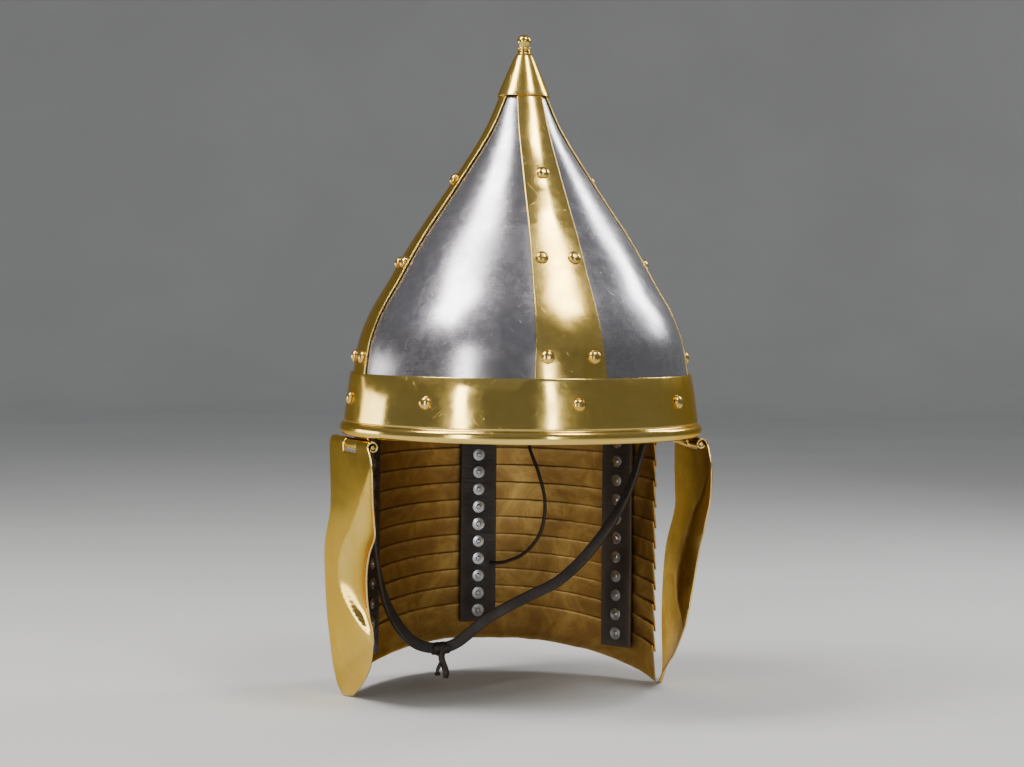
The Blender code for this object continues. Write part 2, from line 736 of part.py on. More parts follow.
def main():
    for item in list(bpy.data.objects):
        bpy.data.objects.remove(item, do_unlink=True)
    collection = bpy.data.collections.new("Helmet")
    cutters = bpy.data.collections.new("Helmet cutters")
    bpy.context.scene.collection.children.link(collection)
    bpy.context.scene.collection.children.link(cutters)

    steel = make_material("Polished steel", (0.55, 0.56, 0.58), 0.28, 1.0)
    brass = make_material("Brass", (0.78, 0.57, 0.22), 0.25, 1.0)
    leather = make_material("Dark leather", (0.035, 0.022, 0.016), 0.62, 0.0)

    build_panels(steel, collection)
    build_bands(brass, collection)
    build_brow_band(brass, collection)
    build_finial(brass, collection)
    build_rivets(brass, collection)
    build_lames(brass, collection)
    build_straps(leather, collection, cutters)
    for name, side in (("left", 1), ("right", -1)):
        build_cheek("cheek_" + name, side, brass, collection)
        build_hinge("hinge_" + name, side, brass, collection, cutters)
    build_cord("chin_strap", CHIN_STRAP_ROUTE, CHIN_STRAP_SPACING, CHIN_STRAP_WIDTH, leather,
               collection)
    build_cord("thong", THONG_ROUTE, THONG_SPACING, THONG_DIAMETER, leather, collection)


main()
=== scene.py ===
"""Dressed model of a conical banded helmet with hinged cheek pieces and a neck curtain.

Each sub-assembly is a class that holds its sizes in metres, builds its meshes from them in the
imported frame, dresses them in a finish and puts them on the body that they ride on. Angles round the
helmet start at the front and grow towards +X, the wearer's left.
"""

import logging
import math
from collections.abc import Sequence
from dataclasses import dataclass
from enum import Enum

import bpy
import numpy as np
from mathutils import Matrix, Vector


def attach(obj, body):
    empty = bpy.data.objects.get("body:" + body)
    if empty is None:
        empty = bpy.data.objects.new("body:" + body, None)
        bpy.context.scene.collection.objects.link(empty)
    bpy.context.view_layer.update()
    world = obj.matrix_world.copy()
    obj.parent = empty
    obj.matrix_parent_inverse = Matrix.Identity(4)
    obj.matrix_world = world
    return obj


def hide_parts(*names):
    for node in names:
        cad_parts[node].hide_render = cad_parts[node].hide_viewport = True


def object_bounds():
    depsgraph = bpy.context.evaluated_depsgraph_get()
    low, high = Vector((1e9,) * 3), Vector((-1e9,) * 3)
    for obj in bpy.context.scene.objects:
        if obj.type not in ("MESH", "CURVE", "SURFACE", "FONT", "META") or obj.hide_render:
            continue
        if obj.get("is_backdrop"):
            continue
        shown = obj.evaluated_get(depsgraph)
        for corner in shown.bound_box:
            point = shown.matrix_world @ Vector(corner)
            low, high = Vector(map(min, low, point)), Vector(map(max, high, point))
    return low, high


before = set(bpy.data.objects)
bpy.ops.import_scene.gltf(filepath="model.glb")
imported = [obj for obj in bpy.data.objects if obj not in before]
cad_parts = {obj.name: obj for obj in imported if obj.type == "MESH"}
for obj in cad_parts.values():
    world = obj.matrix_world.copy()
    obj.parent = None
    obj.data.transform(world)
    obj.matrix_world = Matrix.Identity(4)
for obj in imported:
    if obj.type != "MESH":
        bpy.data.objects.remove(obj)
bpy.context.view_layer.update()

LOG = logging.getLogger("helmet")
Row = tuple[float, ...]
Spot = tuple[float, float, float]

SEAT_GAP = 0.0003                   # play between pieces that seat on each other
CORNER = 0.0004                     # rounding of the turned pieces' corners
RIM_INSET = 0.0005                  # distance of the extra line of points along a sheet's rim
SHARP_ANGLE = math.radians(50)      # faces that meet more sharply than this keep a sharp edge


class Slot(Enum):
    """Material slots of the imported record."""

    STEEL = "steel"
    BRASS = "brass"
    RIVET = "rivet_brass"
    CURTAIN = "curtain_brass"
    STRAP = "strap_leather"
    CORD = "cord_leather"


class Body(Enum):
    """Bodies that the pieces ride on."""

    HELMET = "helmet"
    CHEEK_LEFT = "cheek_left"
    CHEEK_RIGHT = "cheek_right"


class Side(Enum):
    """Side of the wearer, as the sign of X."""

    LEFT = 1
    RIGHT = -1

    @property
    def word(self) -> str:
        """Side as it stands in the names."""
        return self.name.lower()

    @property
    def cheek(self) -> Body:
        """Body of this side's cheek piece."""
        return Body.CHEEK_LEFT if self is Side.LEFT else Body.CHEEK_RIGHT


# Curves, places and meshes


class Profile:
    """Smooth curve through rows of (place, value), straight beyond its ends."""

    def __init__(self, rows: Sequence[Row], column: int = 1) -> None:
        """Read the rows.

        Args:
            rows: Table whose first column is the place.
            column: Column that holds the value.
        """
        self.place = np.array([row[0] for row in rows])
        self.value = np.array([row[column] for row in rows])
        slope = np.diff(self.value) / np.diff(self.place)
        self.tangent = np.concatenate([slope[:1], (slope[:-1] + slope[1:]) / 2, slope[-1:]])

    def at(self, place: np.ndarray | float) -> np.ndarray:
        """Read the curve.

        Args:
            place: One place or an array of them.

        Returns:
            The values there.
        """
        place = np.asarray(place, float)
        low = np.clip(np.searchsorted(self.place, place, side="right") - 1, 0, len(self.place) - 2)
        span = self.place[low + 1] - self.place[low]
        t = np.clip((place - self.place[low]) / span, 0.0, 1.0)
        inner = ((2 * t**3 - 3 * t**2 + 1) * self.value[low]
                 + (t**3 - 2 * t**2 + t) * span * self.tangent[low]
                 + (3 * t**2 - 2 * t**3) * self.value[low + 1]
                 + (t**3 - t**2) * span * self.tangent[low + 1])
        before = np.minimum(place - self.place[0], 0.0) * self.tangent[0]
        after = np.maximum(place - self.place[-1], 0.0) * self.tangent[-1]
        return inner + before + after


def unit(vectors: np.ndarray) -> np.ndarray:
    """Scale each vector of an array to length one."""
    return vectors / np.maximum(np.linalg.norm(vectors, axis=-1, keepdims=True), 1e-12)


def around(radius: np.ndarray | float, angle: np.ndarray | float,
           height: np.ndarray | float) -> np.ndarray:
    """Find points at angles from the front.

    Args:
        radius: Distance from the helmet's axis.
        angle: Angle from the front towards +X.
        height: Height above the rim plane.

    Returns:
        An array of points.
    """
    x, y, z = np.broadcast_arrays(radius * np.sin(angle), -radius * np.cos(angle), height)
    return np.stack([x, y, z], axis=-1)


def edged(start: float, end: float, count: int, inset: float) -> np.ndarray:
    """Even places with one more close to each end, which keeps the rim's shading crisp.

    Args:
        start: First place.
        end: Last place.
        count: Spans between them.
        inset: Distance of the extra places from the ends.

    Returns:
        The places in order.
    """
    way = math.copysign(inset, end - start)
    return np.concatenate([[start, start + way], np.linspace(start, end, count + 1)[1:-1],
                           [end - way, end]])


def lengths_along(points: np.ndarray) -> np.ndarray:
    """Length of a line of points up to each of them."""
    return np.concatenate([[0.0], np.cumsum(np.linalg.norm(np.diff(points, axis=0), axis=1))])


def resampled(points: np.ndarray, count: int) -> np.ndarray:
    """Spread points evenly along a line.

    Args:
        points: Points of the line.
        count: How many even points to make.

    Returns:
        The even points.
    """
    run = lengths_along(points)
    even = np.linspace(0.0, run[-1], count)
    return np.stack([np.interp(even, run, points[:, axis]) for axis in range(3)], -1)


def read_points(mesh: bpy.types.Mesh) -> np.ndarray:
    """Read the places of a mesh's points."""
    spots = np.empty(len(mesh.vertices) * 3)
    mesh.vertices.foreach_get("co", spots)
    return spots.reshape(-1, 3)


def make_mesh(name: str, points: np.ndarray, faces: Sequence[Sequence[int]], uv: np.ndarray,
              marks: dict[str, np.ndarray]) -> bpy.types.Mesh:
    """Make a smooth mesh with a UV map and point attributes, without loose points.

    Args:
        name: Name of the mesh.
        points: Points of the mesh.
        faces: Point numbers of each face.
        uv: UV place of each point, in metres.
        marks: Values of each point attribute.

    Returns:
        The mesh.
    """
    used = np.unique(np.concatenate([np.asarray(face) for face in faces]))
    number = np.full(len(points), -1)
    number[used] = np.arange(len(used))
    mesh = bpy.data.meshes.new(name)
    mesh.from_pydata(points[used].tolist(), [], [number[np.asarray(face)].tolist()
                                                 for face in faces])
    corners = np.empty(len(mesh.loops), int)
    mesh.loops.foreach_get("vertex_index", corners)
    layer = mesh.uv_layers.new(name="UVMap")
    layer.data.foreach_set("uv", uv[used][corners].astype(np.float32).ravel())
    for mark, values in marks.items():
        attribute = mesh.attributes.new(mark, "FLOAT", "POINT")
        attribute.data.foreach_set("value", values[used].astype(np.float32))
    mesh.shade_smooth()
    mesh.set_sharp_from_angle(angle=SHARP_ANGLE)
    return mesh


@dataclass(frozen=True)
class Sheet:
    """Sheet of metal or leather: its outer face as a grid, and the wall behind it."""

    grid: np.ndarray
    wall: float
    kept: np.ndarray | None = None
    flipped: bool = False
    rim_steps: int = 4
    rim_bulge: float = 0.35
    edge_reach: float = 0.0022
    rim_inner: float = 0.3

    def cells(self) -> np.ndarray:
        """Point numbers of each cell of the outer face that is kept."""
        rows, columns = self.grid.shape[:2]
        index = np.arange(rows * columns).reshape(rows, columns)
        cells = np.stack([index[:-1, :-1], index[:-1, 1:], index[1:, 1:], index[1:, :-1]], -1)
        cells = cells.reshape(-1, 4) if self.kept is None else cells[self.kept]
        return cells[:, ::-1] if self.flipped else cells

    def spread(self) -> tuple[np.ndarray, np.ndarray]:
        """Lay the grid flat.

        Returns:
            The UV place in metres and the mark of the edge, for each point.
        """
        across = np.linalg.norm(np.diff(self.grid, axis=1), axis=-1)
        u = np.concatenate([np.zeros((len(self.grid), 1)), np.cumsum(across, axis=1)], axis=1)
        middle = self.grid[:, self.grid.shape[1] // 2]
        v = np.broadcast_to(lengths_along(middle)[:, None], u.shape)
        edge = np.minimum(np.minimum(u, u[:, -1:] - u), np.minimum(v, v[-1:] - v))
        uv = np.stack([u - u[:, -1:] / 2, v], axis=-1).reshape(-1, 2)
        return uv, np.exp(-edge / self.edge_reach).ravel()

    def mesh(self, name: str) -> bpy.types.Mesh:
        """Build the closed sheet with a rounded rim.

        Args:
            name: Name of the mesh.

        Returns:
            The mesh, with the attributes edge and inner.
        """
        points = self.grid.reshape(-1, 3)
        total = len(points)
        normal = unit(np.cross(np.gradient(self.grid, axis=1),
                               np.gradient(self.grid, axis=0)).reshape(-1, 3))
        normal = -normal if self.flipped else normal
        cells = self.cells()
        sides = np.concatenate([cells[:, [i, (i + 1) % 4]] for i in range(4)]).tolist()
        present = {tuple(side) for side in sides}
        border = np.array([side for side in sides if (side[1], side[0]) not in present])
        lean = unit(np.cross(points[border[:, 1]] - points[border[:, 0]], normal[border[:, 0]]))
        outward = np.zeros_like(points)
        np.add.at(outward, border[:, 0], lean)
        np.add.at(outward, border[:, 1], lean)
        rim = np.unique(border)
        outward[rim] = unit(outward[rim])

        uv, edge = self.spread()
        layers, numbers = [points], [np.arange(total)]
        for step in range(1, self.rim_steps):
            angle = math.pi * step / self.rim_steps
            layers.append(points[rim] + self.wall * (
                (math.cos(angle) - 1) / 2 * normal[rim]
                + self.rim_bulge * math.sin(angle) * outward[rim]))
            number = np.full(total, -1)
            number[rim] = total + (step - 1) * len(rim) + np.arange(len(rim))
            numbers.append(number)
        layers.append(points - self.wall * normal)
        numbers.append(np.arange(total) + total + (self.rim_steps - 1) * len(rim))

        faces = cells.tolist() + numbers[-1][cells[:, ::-1]].tolist()
        first, second = border[:, 0], border[:, 1]
        for low, high in zip(numbers, numbers[1:]):
            faces += np.stack([low[second], low[first], high[first], high[second]], -1).tolist()
        rings = self.rim_steps - 1
        return make_mesh(
            name, np.concatenate(layers), faces,
            np.concatenate([uv] + [uv[rim]] * rings + [uv]),
            {"edge": np.concatenate([edge] + [np.ones(len(rim))] * rings + [edge]),
             # inner marks the back face, and partly the rim, for the finish's tarnish and painted
             # shade
             "inner": np.concatenate([np.zeros(total), np.full(rings * len(rim), self.rim_inner),
                                      np.ones(total)])})


def rounded(points: Sequence[Row], steps: int = 3,
            least_turn: float = math.radians(20)) -> list[tuple[float, float]]:
    """Round the sharp corners of a section.

    Args:
        points: Corners of the section; the two ends stay.
        steps: Spans of each rounding.
        least_turn: Turn below which a corner stays as it is.

    Returns:
        The points of the rounded section.
    """
    section = [Vector(point) for point in points]
    made = [section[0]]
    for before, corner, after in zip(section, section[1:], section[2:]):
        back, ahead = before - corner, after - corner
        if back.angle(-ahead, 0.0) < least_turn:
            made.append(corner)
            continue
        reach = min(CORNER, back.length * 0.4, ahead.length * 0.4)
        start, end = corner + back.normalized() * reach, corner + ahead.normalized() * reach
        for step in range(steps + 1):
            t = step / steps
            made.append(start * (1 - t) ** 2 + corner * 2 * t * (1 - t) + end * t**2)
    made.append(section[-1])
    return [(point.x, point.y) for point in made]


def lathe_mesh(name: str, section: Sequence[Row], steps: int, closed: bool,
               edge_reach: float = 0.0012, corner_turn: float = 0.35) -> bpy.types.Mesh:
    """Turn a section round Z.

    Args:
        name: Name of the mesh.
        section: Radius and height of each point, rising along the outer side.
        steps: Spans round the axis.
        closed: True for a ring, false where both ends lie on the axis.
        edge_reach: Distance over which the mark of an edge fades.
        corner_turn: Sine of the turn above which a corner is marked as an edge.

    Returns:
        The mesh, with the attributes edge and inner.
    """
    line = np.array(section)
    angles = np.linspace(0.0, 2 * math.pi, steps, endpoint=False)
    count = len(line)
    points = around(line[None, :, 0], angles[:, None], line[None, :, 1]).reshape(-1, 3)
    lengths = lengths_along(line)
    spans = count if closed else count - 1
    tips = {} if closed else {0: 0, count - 1: count - 1}
    faces = []
    for turn in range(steps):
        for span in range(spans):
            after = (span + 1) % count
            here, there = turn * count, (turn + 1) % steps * count
            face = [tips.get(span, there + span), tips.get(after, there + after),
                    tips.get(after, here + after), tips.get(span, here + span)]
            face = [spot for place, spot in enumerate(face) if spot != face[place - 1]]
            faces.append(face)
    way = unit(np.roll(line, -1, axis=0) - line)
    last = unit(line - np.roll(line, 1, axis=0))
    turned = np.abs(way[:, 0] * last[:, 1] - way[:, 1] * last[:, 0])
    if not closed:
        turned[[0, -1]] = 0.0
    corners = lengths[turned > corner_turn]
    edge = np.zeros(count)
    if len(corners):
        edge = np.exp(-np.abs(lengths[:, None] - corners[None]).min(axis=1) / edge_reach)
    # Faces on the inner side are marked inner; the finish darkens them with tarnish and painted
    # shade.
    inner = (way[:, 1] < -0.3).astype(float)
    uv = np.stack(np.broadcast_arrays(angles[:, None] * line[:, 0].max(), lengths[None]), -1)
    return make_mesh(name, points, faces, uv.reshape(-1, 2),
                     {"edge": np.tile(edge, steps), "inner": np.tile(inner, steps)})


def tube_mesh(name: str, path: np.ndarray, across: np.ndarray, width: float,
              thickness: float, sides: int = 16, power: float = 0.6) -> bpy.types.Mesh:
    """Sweep a rounded section along a path.

    Args:
        name: Name of the mesh.
        path: Points along the middle.
        across: Direction of the section's width at each point.
        width: Width of the section.
        thickness: Thickness of the section.
        sides: Points round the section.
        power: 1 for an ellipse, less for squarer corners.

    Returns:
        The closed mesh.
    """
    ahead = unit(np.gradient(path, axis=0))
    across = unit(across - ahead * np.sum(across * ahead, axis=1, keepdims=True))
    flat = np.cross(ahead, across)
    angle = np.linspace(0.0, 2 * math.pi, sides, endpoint=False)
    x = np.sign(np.cos(angle)) * np.abs(np.cos(angle)) ** power * width / 2
    y = np.sign(np.sin(angle)) * np.abs(np.sin(angle)) ** power * thickness / 2
    points = path[:, None] + across[:, None] * x[None, :, None] + flat[:, None] * y[None, :, None]
    count = len(path)
    index = np.arange(count * sides).reshape(count, sides)
    after = np.roll(index, -1, axis=1)
    faces = np.stack([index[:-1], after[:-1], after[1:], index[1:]], -1).reshape(-1, 4).tolist()
    faces.append(index[0, ::-1].tolist())
    faces.append(index[-1].tolist())
    uv = np.stack(np.broadcast_arrays(x[None], lengths_along(path)[:, None]), -1)
    edge = np.tile(np.abs(np.cos(angle)) ** 6, count)
    return make_mesh(name, points.reshape(-1, 3), faces, uv.reshape(-1, 2),
                     {"edge": edge, "inner": np.zeros(count * sides)})


def add_piece(name: str, mesh: bpy.types.Mesh, material: bpy.types.Material, body: Body,
              nodes: Sequence[str] = ()) -> bpy.types.Object:
    """Add a finished piece to the scene and log it.

    Args:
        name: Name of the piece.
        mesh: Its mesh, in place.
        material: Its finish.
        body: Body that it rides on.
        nodes: Nodes of the frame that it stands for.

    Returns:
        The piece.
    """
    piece = bpy.data.objects.new(name, mesh)
    bpy.context.scene.collection.objects.link(piece)
    mesh.materials.clear()
    mesh.materials.append(material)
    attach(piece, body.value)
    if nodes:
        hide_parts(*nodes)
    LOG.info("%s: %d faces, stands for %s", name, len(mesh.polygons), ", ".join(nodes) or "nothing")
    return piece


# Finishes


class Wiring:
    """Short calls for wiring a node tree."""

    prefix = ""

    def __init__(self, tree: bpy.types.NodeTree) -> None:
        """Keep the tree.

        Args:
            tree: Tree that the nodes go into.
        """
        self.tree = tree

    def feed(self, socket: bpy.types.NodeSocket, value: object) -> None:
        """Link an input to another socket, or set its value."""
        if isinstance(value, bpy.types.NodeSocket):
            self.tree.links.new(value, socket)
        else:
            socket.default_value = value

    def add(self, kind: str, inputs: dict, **settings: object) -> bpy.types.Node:
        """Add a node.

        Args:
            kind: Type of the node, without the prefix.
            inputs: Value, or socket to link, for each input by name or number.
            settings: Properties of the node.

        Returns:
            The node.
        """
        node = self.tree.nodes.new(self.prefix + kind)
        for key, value in settings.items():
            setattr(node, key, value)
        for key, value in inputs.items():
            self.feed(node.inputs[key], value)
        return node


class Graph(Wiring):
    """Node tree of one material."""

    prefix = "ShaderNode"

    def __init__(self, name: str) -> None:
        """Start a Principled material with this name."""
        self.material = bpy.data.materials.new(name)
        self.material.use_nodes = True
        super().__init__(self.material.node_tree)
        self.shader = self.tree.nodes["Principled BSDF"]

    def solid(self) -> bpy.types.NodeSocket:
        """Read the Object coordinates."""
        return self.add("TexCoord", {}).outputs["Object"]

    def coords(self, scale: Spot, turn: float = 0.0) -> bpy.types.NodeSocket:
        """Read the surface's own UV map.

        Args:
            scale: Stretch along each axis.
            turn: Turn of the pattern in radians, before it is stretched.

        Returns:
            The vector socket.
        """
        source = self.add("TexCoord", {}).outputs["UV"]
        turned = self.add("Mapping", {"Vector": source, "Rotation": (0.0, 0.0, turn)})
        return self.add("Mapping", {"Vector": turned.outputs[0], "Scale": scale}).outputs[0]

    def noise(self, vector: bpy.types.NodeSocket, scale: float, detail: float = 3.0,
              roughness: float = 0.55, distortion: float = 0.0) -> bpy.types.NodeSocket:
        """Add noise and return its factor."""
        return self.add("TexNoise", {"Vector": vector, "Scale": scale, "Detail": detail,
                                     "Roughness": roughness,
                                     "Distortion": distortion}).outputs[0]

    def span(self, factor: bpy.types.NodeSocket, low: float, high: float, start: float = 0.0,
             end: float = 1.0) -> bpy.types.NodeSocket:
        """Map the range low to high onto start to end, clamped."""
        return self.add("MapRange", {0: factor, 1: low, 2: high, 3: start, 4: end},
                        interpolation_type="SMOOTHSTEP").outputs[0]

    def math(self, operation: str, first: object, second: object) -> bpy.types.NodeSocket:
        """Combine two values."""
        return self.add("Math", {0: first, 1: second}, operation=operation).outputs[0]

    def mix(self, factor: object, first: object, second: object) -> bpy.types.NodeSocket:
        """Mix two colours."""
        node = self.add("Mix", {}, data_type="RGBA")
        sockets = [socket for socket in node.inputs if socket.enabled]
        for socket, value in zip(sockets, (factor, first, second)):
            self.feed(socket, value)
        return next(socket for socket in node.outputs if socket.enabled)

    def mark(self, name: str) -> bpy.types.NodeSocket:
        """Read a point attribute."""
        return self.add("Attribute", {}, attribute_name=name).outputs["Fac"]

    def bump(self, height: bpy.types.NodeSocket, distance: float, strength: float = 1.0,
             under: bpy.types.NodeSocket | None = None) -> bpy.types.NodeSocket:
        """Raise the surface by a height, over another bump if there is one."""
        inputs = {"Height": height, "Distance": distance, "Strength": strength}
        if under is not None:
            inputs["Normal"] = under
        return self.add("Bump", inputs).outputs[0]

    def scratches(self, turn: float, scale: float, stretch: float,
                  density: float) -> bpy.types.NodeSocket:
        """Draw fine scratches that all run one way.

        Args:
            turn: Direction of the scratches on the UV map.
            scale: Scratches a metre, across them.
            stretch: How many times longer than wide the noise is.
            density: Share of the surface that they take, from 0 to 1.

        Returns:
            A mask that is 1 on a scratch.
        """
        vector = self.coords((scale / stretch, scale, 1.0), turn)
        threshold = 0.74 - 0.12 * density
        return self.span(self.noise(vector, 1.0, 2.0, 0.5, 0.2), threshold, threshold + 0.06)

    def finish(self, colour: object, roughness: object, normal: bpy.types.NodeSocket,
               metallic: float) -> bpy.types.Material:
        """Connect the shader and return the material."""
        for name, value in (("Base Color", colour), ("Roughness", roughness),
                            ("Normal", normal), ("Metallic", metallic)):
            self.feed(self.shader.inputs[name], value)
        return self.material


@dataclass(frozen=True)
class MetalFinish:
    """Hand-polished sheet: cloudy polish, brushing, scratches, dents, tarnish, worn edges, and inner
    faces darkened partly by tarnish and partly by painted shade.
    """

    name: str
    tint: Row
    cloud: Row
    tarnish_shade_tone: Row
    worn: Row
    glance: Row = (1.0, 1.0, 1.0, 1.0)
    polish: float = 0.16
    dull: float = 0.34
    tarnish_share: float = 0.4
    dent: float = 0.00012
    dent_scale: float = 55.0
    brush: float = 0.000006
    scratch: float = 0.000014
    inner_dull: float = 0.12
    # how far inner faces darken towards the tarnish tone: partly tarnish, partly painted shade
    inner_shade_and_tarnish: float = 0.5
    wear: float = 0.5
    cloud_scale: float = 17.0
    speckle_scale: float = 170.0
    stain_scale: float = 31.0
    brushing: Spot = (30.0, 2600.0, 1.0)
    fine_scratches: Row = (0.9, 3400.0, 45.0, 0.25)
    cross_scratches: Row = (-0.7, 2600.0, 60.0, 0.15)

    def material(self) -> bpy.types.Material:
        """Build the material."""
        graph = Graph(self.name)
        solid = graph.solid()
        cloud = graph.noise(solid, self.cloud_scale, 4.0, 0.6, 0.6)
        speckle = graph.noise(solid, self.speckle_scale, 5.0, 0.7, 0.4)
        stain = graph.noise(solid, self.stain_scale, 6.0, 0.72, 1.2)
        brushing = graph.noise(graph.coords(self.brushing), 1.0, 3.0, 0.6)
        scratch = graph.math("MAXIMUM", graph.scratches(*self.fine_scratches),
                             graph.scratches(*self.cross_scratches))
        edge, inner = graph.mark("edge"), graph.mark("inner")

        colour = graph.mix(graph.span(cloud, 0.35, 0.65), self.tint, self.cloud)
        threshold = 0.66 - 0.22 * self.tarnish_share
        stain_and_shade_mask = graph.math("MULTIPLY", graph.span(stain, threshold, threshold + 0.16),
                             graph.span(speckle, 0.3, 0.6, 0.55, 1.0))
        # Inner faces darken towards the tarnish tone: partly tarnish of the unpolished inside, partly
        # painted shade.
        shade = graph.span(stain, 0.3, 0.62, 0.5 * self.inner_shade_and_tarnish, self.inner_shade_and_tarnish)
        stain_and_shade_mask = graph.math("MAXIMUM", graph.math("MULTIPLY", stain_and_shade_mask, 0.75),
                             graph.math("MULTIPLY", inner, shade))
        colour = graph.mix(stain_and_shade_mask, colour, self.tarnish_shade_tone)
        worn = graph.math("MULTIPLY", edge, graph.span(speckle, 0.35, 0.6, 0.1, self.wear))
        colour = graph.mix(worn, colour, self.worn)

        roughness = graph.span(cloud, 0.3, 0.7, self.polish, self.dull)
        for share in (graph.span(speckle, 0.3, 0.7, -0.025, 0.035),
                      graph.span(brushing, 0.3, 0.7, -0.012, 0.02),
                      graph.math("MULTIPLY", stain_and_shade_mask, 0.16),
                      graph.math("MULTIPLY", scratch, 0.09),
                      graph.math("MULTIPLY", inner, self.inner_dull)):
            roughness = graph.math("ADD", roughness, share)

        dents = graph.noise(solid, self.dent_scale, 1.0, 0.4, 0.3)
        normal = graph.bump(dents, self.dent)
        normal = graph.bump(brushing, self.brush, under=normal)
        normal = graph.bump(graph.math("SUBTRACT", 1.0, scratch), self.scratch, under=normal)
        graph.shader.inputs["Specular Tint"].default_value = self.glance
        return graph.finish(colour, roughness, normal, 1.0)


@dataclass(frozen=True)
class LeatherFinish:
    """Dark oiled leather: pebbled grain, creases, darker pores and edges rubbed lighter."""

    name: str
    tint: Row
    pore: Row
    rubbed: Row
    grain_scale: float = 1100.0
    grain: float = 0.00018
    crease: float = 0.0003
    blotch_scale: float = 60.0
    creasing: Spot = (45.0, 420.0, 1.0)

    def material(self) -> bpy.types.Material:
        """Build the material."""
        graph = Graph(self.name)
        solid = graph.solid()
        cells = graph.add("TexVoronoi", {"Vector": solid, "Scale": self.grain_scale},
                          feature="SMOOTH_F1").outputs["Distance"]
        broad = graph.noise(solid, self.blotch_scale, 4.0, 0.6, 0.5)
        crease = graph.noise(graph.coords(self.creasing), 1.0, 3.0, 0.6, 0.6)
        edge = graph.mark("edge")
        colour = graph.mix(graph.span(broad, 0.35, 0.7), self.tint, self.pore)
        colour = graph.mix(graph.math("MULTIPLY", edge, graph.span(broad, 0.3, 0.6, 0.15, 0.7)),
                           colour, self.rubbed)
        roughness = graph.span(broad, 0.3, 0.7, 0.44, 0.66)
        roughness = graph.math("ADD", roughness, graph.span(cells, 0.0, 0.6, 0.10, -0.06))
        normal = graph.bump(graph.span(crease, 0.3, 0.75), self.crease, 0.6)
        normal = graph.bump(cells, self.grain, 0.8, under=normal)
        return graph.finish(colour, roughness, normal, 0.0)


@dataclass(frozen=True)
class FloorFinish:
    """Matt pale paper with the faintest mottling."""

    name: str = "Pale floor"
    light: Row = (0.72, 0.72, 0.71, 1.0)
    dark: Row = (0.68, 0.68, 0.67, 1.0)
    mottle_scale: float = 3.0
    tooth_scale: float = 900.0
    tooth: float = 0.00005

    def material(self) -> bpy.types.Material:
        """Build the material."""
        graph = Graph(self.name)
        solid = graph.solid()
        broad = graph.noise(solid, self.mottle_scale, 3.0)
        colour = graph.mix(graph.span(broad, 0.3, 0.7), self.light, self.dark)
        normal = graph.bump(graph.noise(solid, self.tooth_scale, 2.0), self.tooth)
        return graph.finish(colour, graph.span(broad, 0.3, 0.7, 0.75, 0.85), normal, 0.0)


class Finishes:
    """Every finish of the helmet, built once."""

    def __init__(self) -> None:
        """Build the materials."""
        self.steel = MetalFinish(
            "Polished steel", tint=(0.46, 0.44, 0.465, 1.0), cloud=(0.38, 0.365, 0.385, 1.0),
            tarnish_shade_tone=(0.27, 0.255, 0.265, 1.0), worn=(0.60, 0.59, 0.61, 1.0), polish=0.19,
            dull=0.29, tarnish_share=-0.1, dent=0.0007, dent_scale=22.0).material()
        self.brass = MetalFinish(
            "Polished brass", tint=(0.81, 0.58, 0.155, 1.0), cloud=(0.71, 0.49, 0.115, 1.0),
            tarnish_shade_tone=(0.32, 0.17, 0.04, 1.0), worn=(0.90, 0.68, 0.28, 1.0),
            glance=(0.86, 0.66, 0.34, 1.0), polish=0.10,
            dull=0.22, tarnish_share=0.2, dent=0.0009, dent_scale=24.0).material()
        self.rivet = MetalFinish(
            "Rivet brass", tint=(0.78, 0.55, 0.16, 1.0), cloud=(0.62, 0.42, 0.11, 1.0),
            tarnish_shade_tone=(0.24, 0.13, 0.04, 1.0), worn=(0.90, 0.70, 0.32, 1.0), polish=0.14,
            dull=0.26, dent=0.00008, dent_scale=300.0).material()
        # The lames' inner faces darken strongly: partly tarnish, partly painted shade.
        self.curtain = MetalFinish(
            "Curtain brass", tint=(0.72, 0.49, 0.13, 1.0), cloud=(0.57, 0.36, 0.09, 1.0),
            tarnish_shade_tone=(0.26, 0.13, 0.04, 1.0), worn=(0.80, 0.56, 0.20, 1.0),
            glance=(0.80, 0.58, 0.28, 1.0), polish=0.18,
            dull=0.34, tarnish_share=0.5, inner_shade_and_tarnish=0.9).material()
        self.washer = MetalFinish(
            "Washer steel", tint=(0.50, 0.51, 0.52, 1.0), cloud=(0.38, 0.38, 0.39, 1.0),
            tarnish_shade_tone=(0.16, 0.14, 0.12, 1.0), worn=(0.70, 0.70, 0.70, 1.0), polish=0.24, dull=0.40,
            dent=0.00006, dent_scale=420.0).material()
        self.strap = LeatherFinish(
            "Strap leather", tint=(0.030, 0.020, 0.014, 1.0), pore=(0.016, 0.010, 0.008, 1.0),
            rubbed=(0.085, 0.054, 0.034, 1.0)).material()
        self.cord = LeatherFinish(
            "Lace leather", tint=(0.028, 0.018, 0.012, 1.0), pore=(0.014, 0.009, 0.007, 1.0),
            rubbed=(0.075, 0.046, 0.028, 1.0), grain_scale=1500.0, grain=0.00012,
            crease=0.0002).material()


# Trees of Geometry Nodes


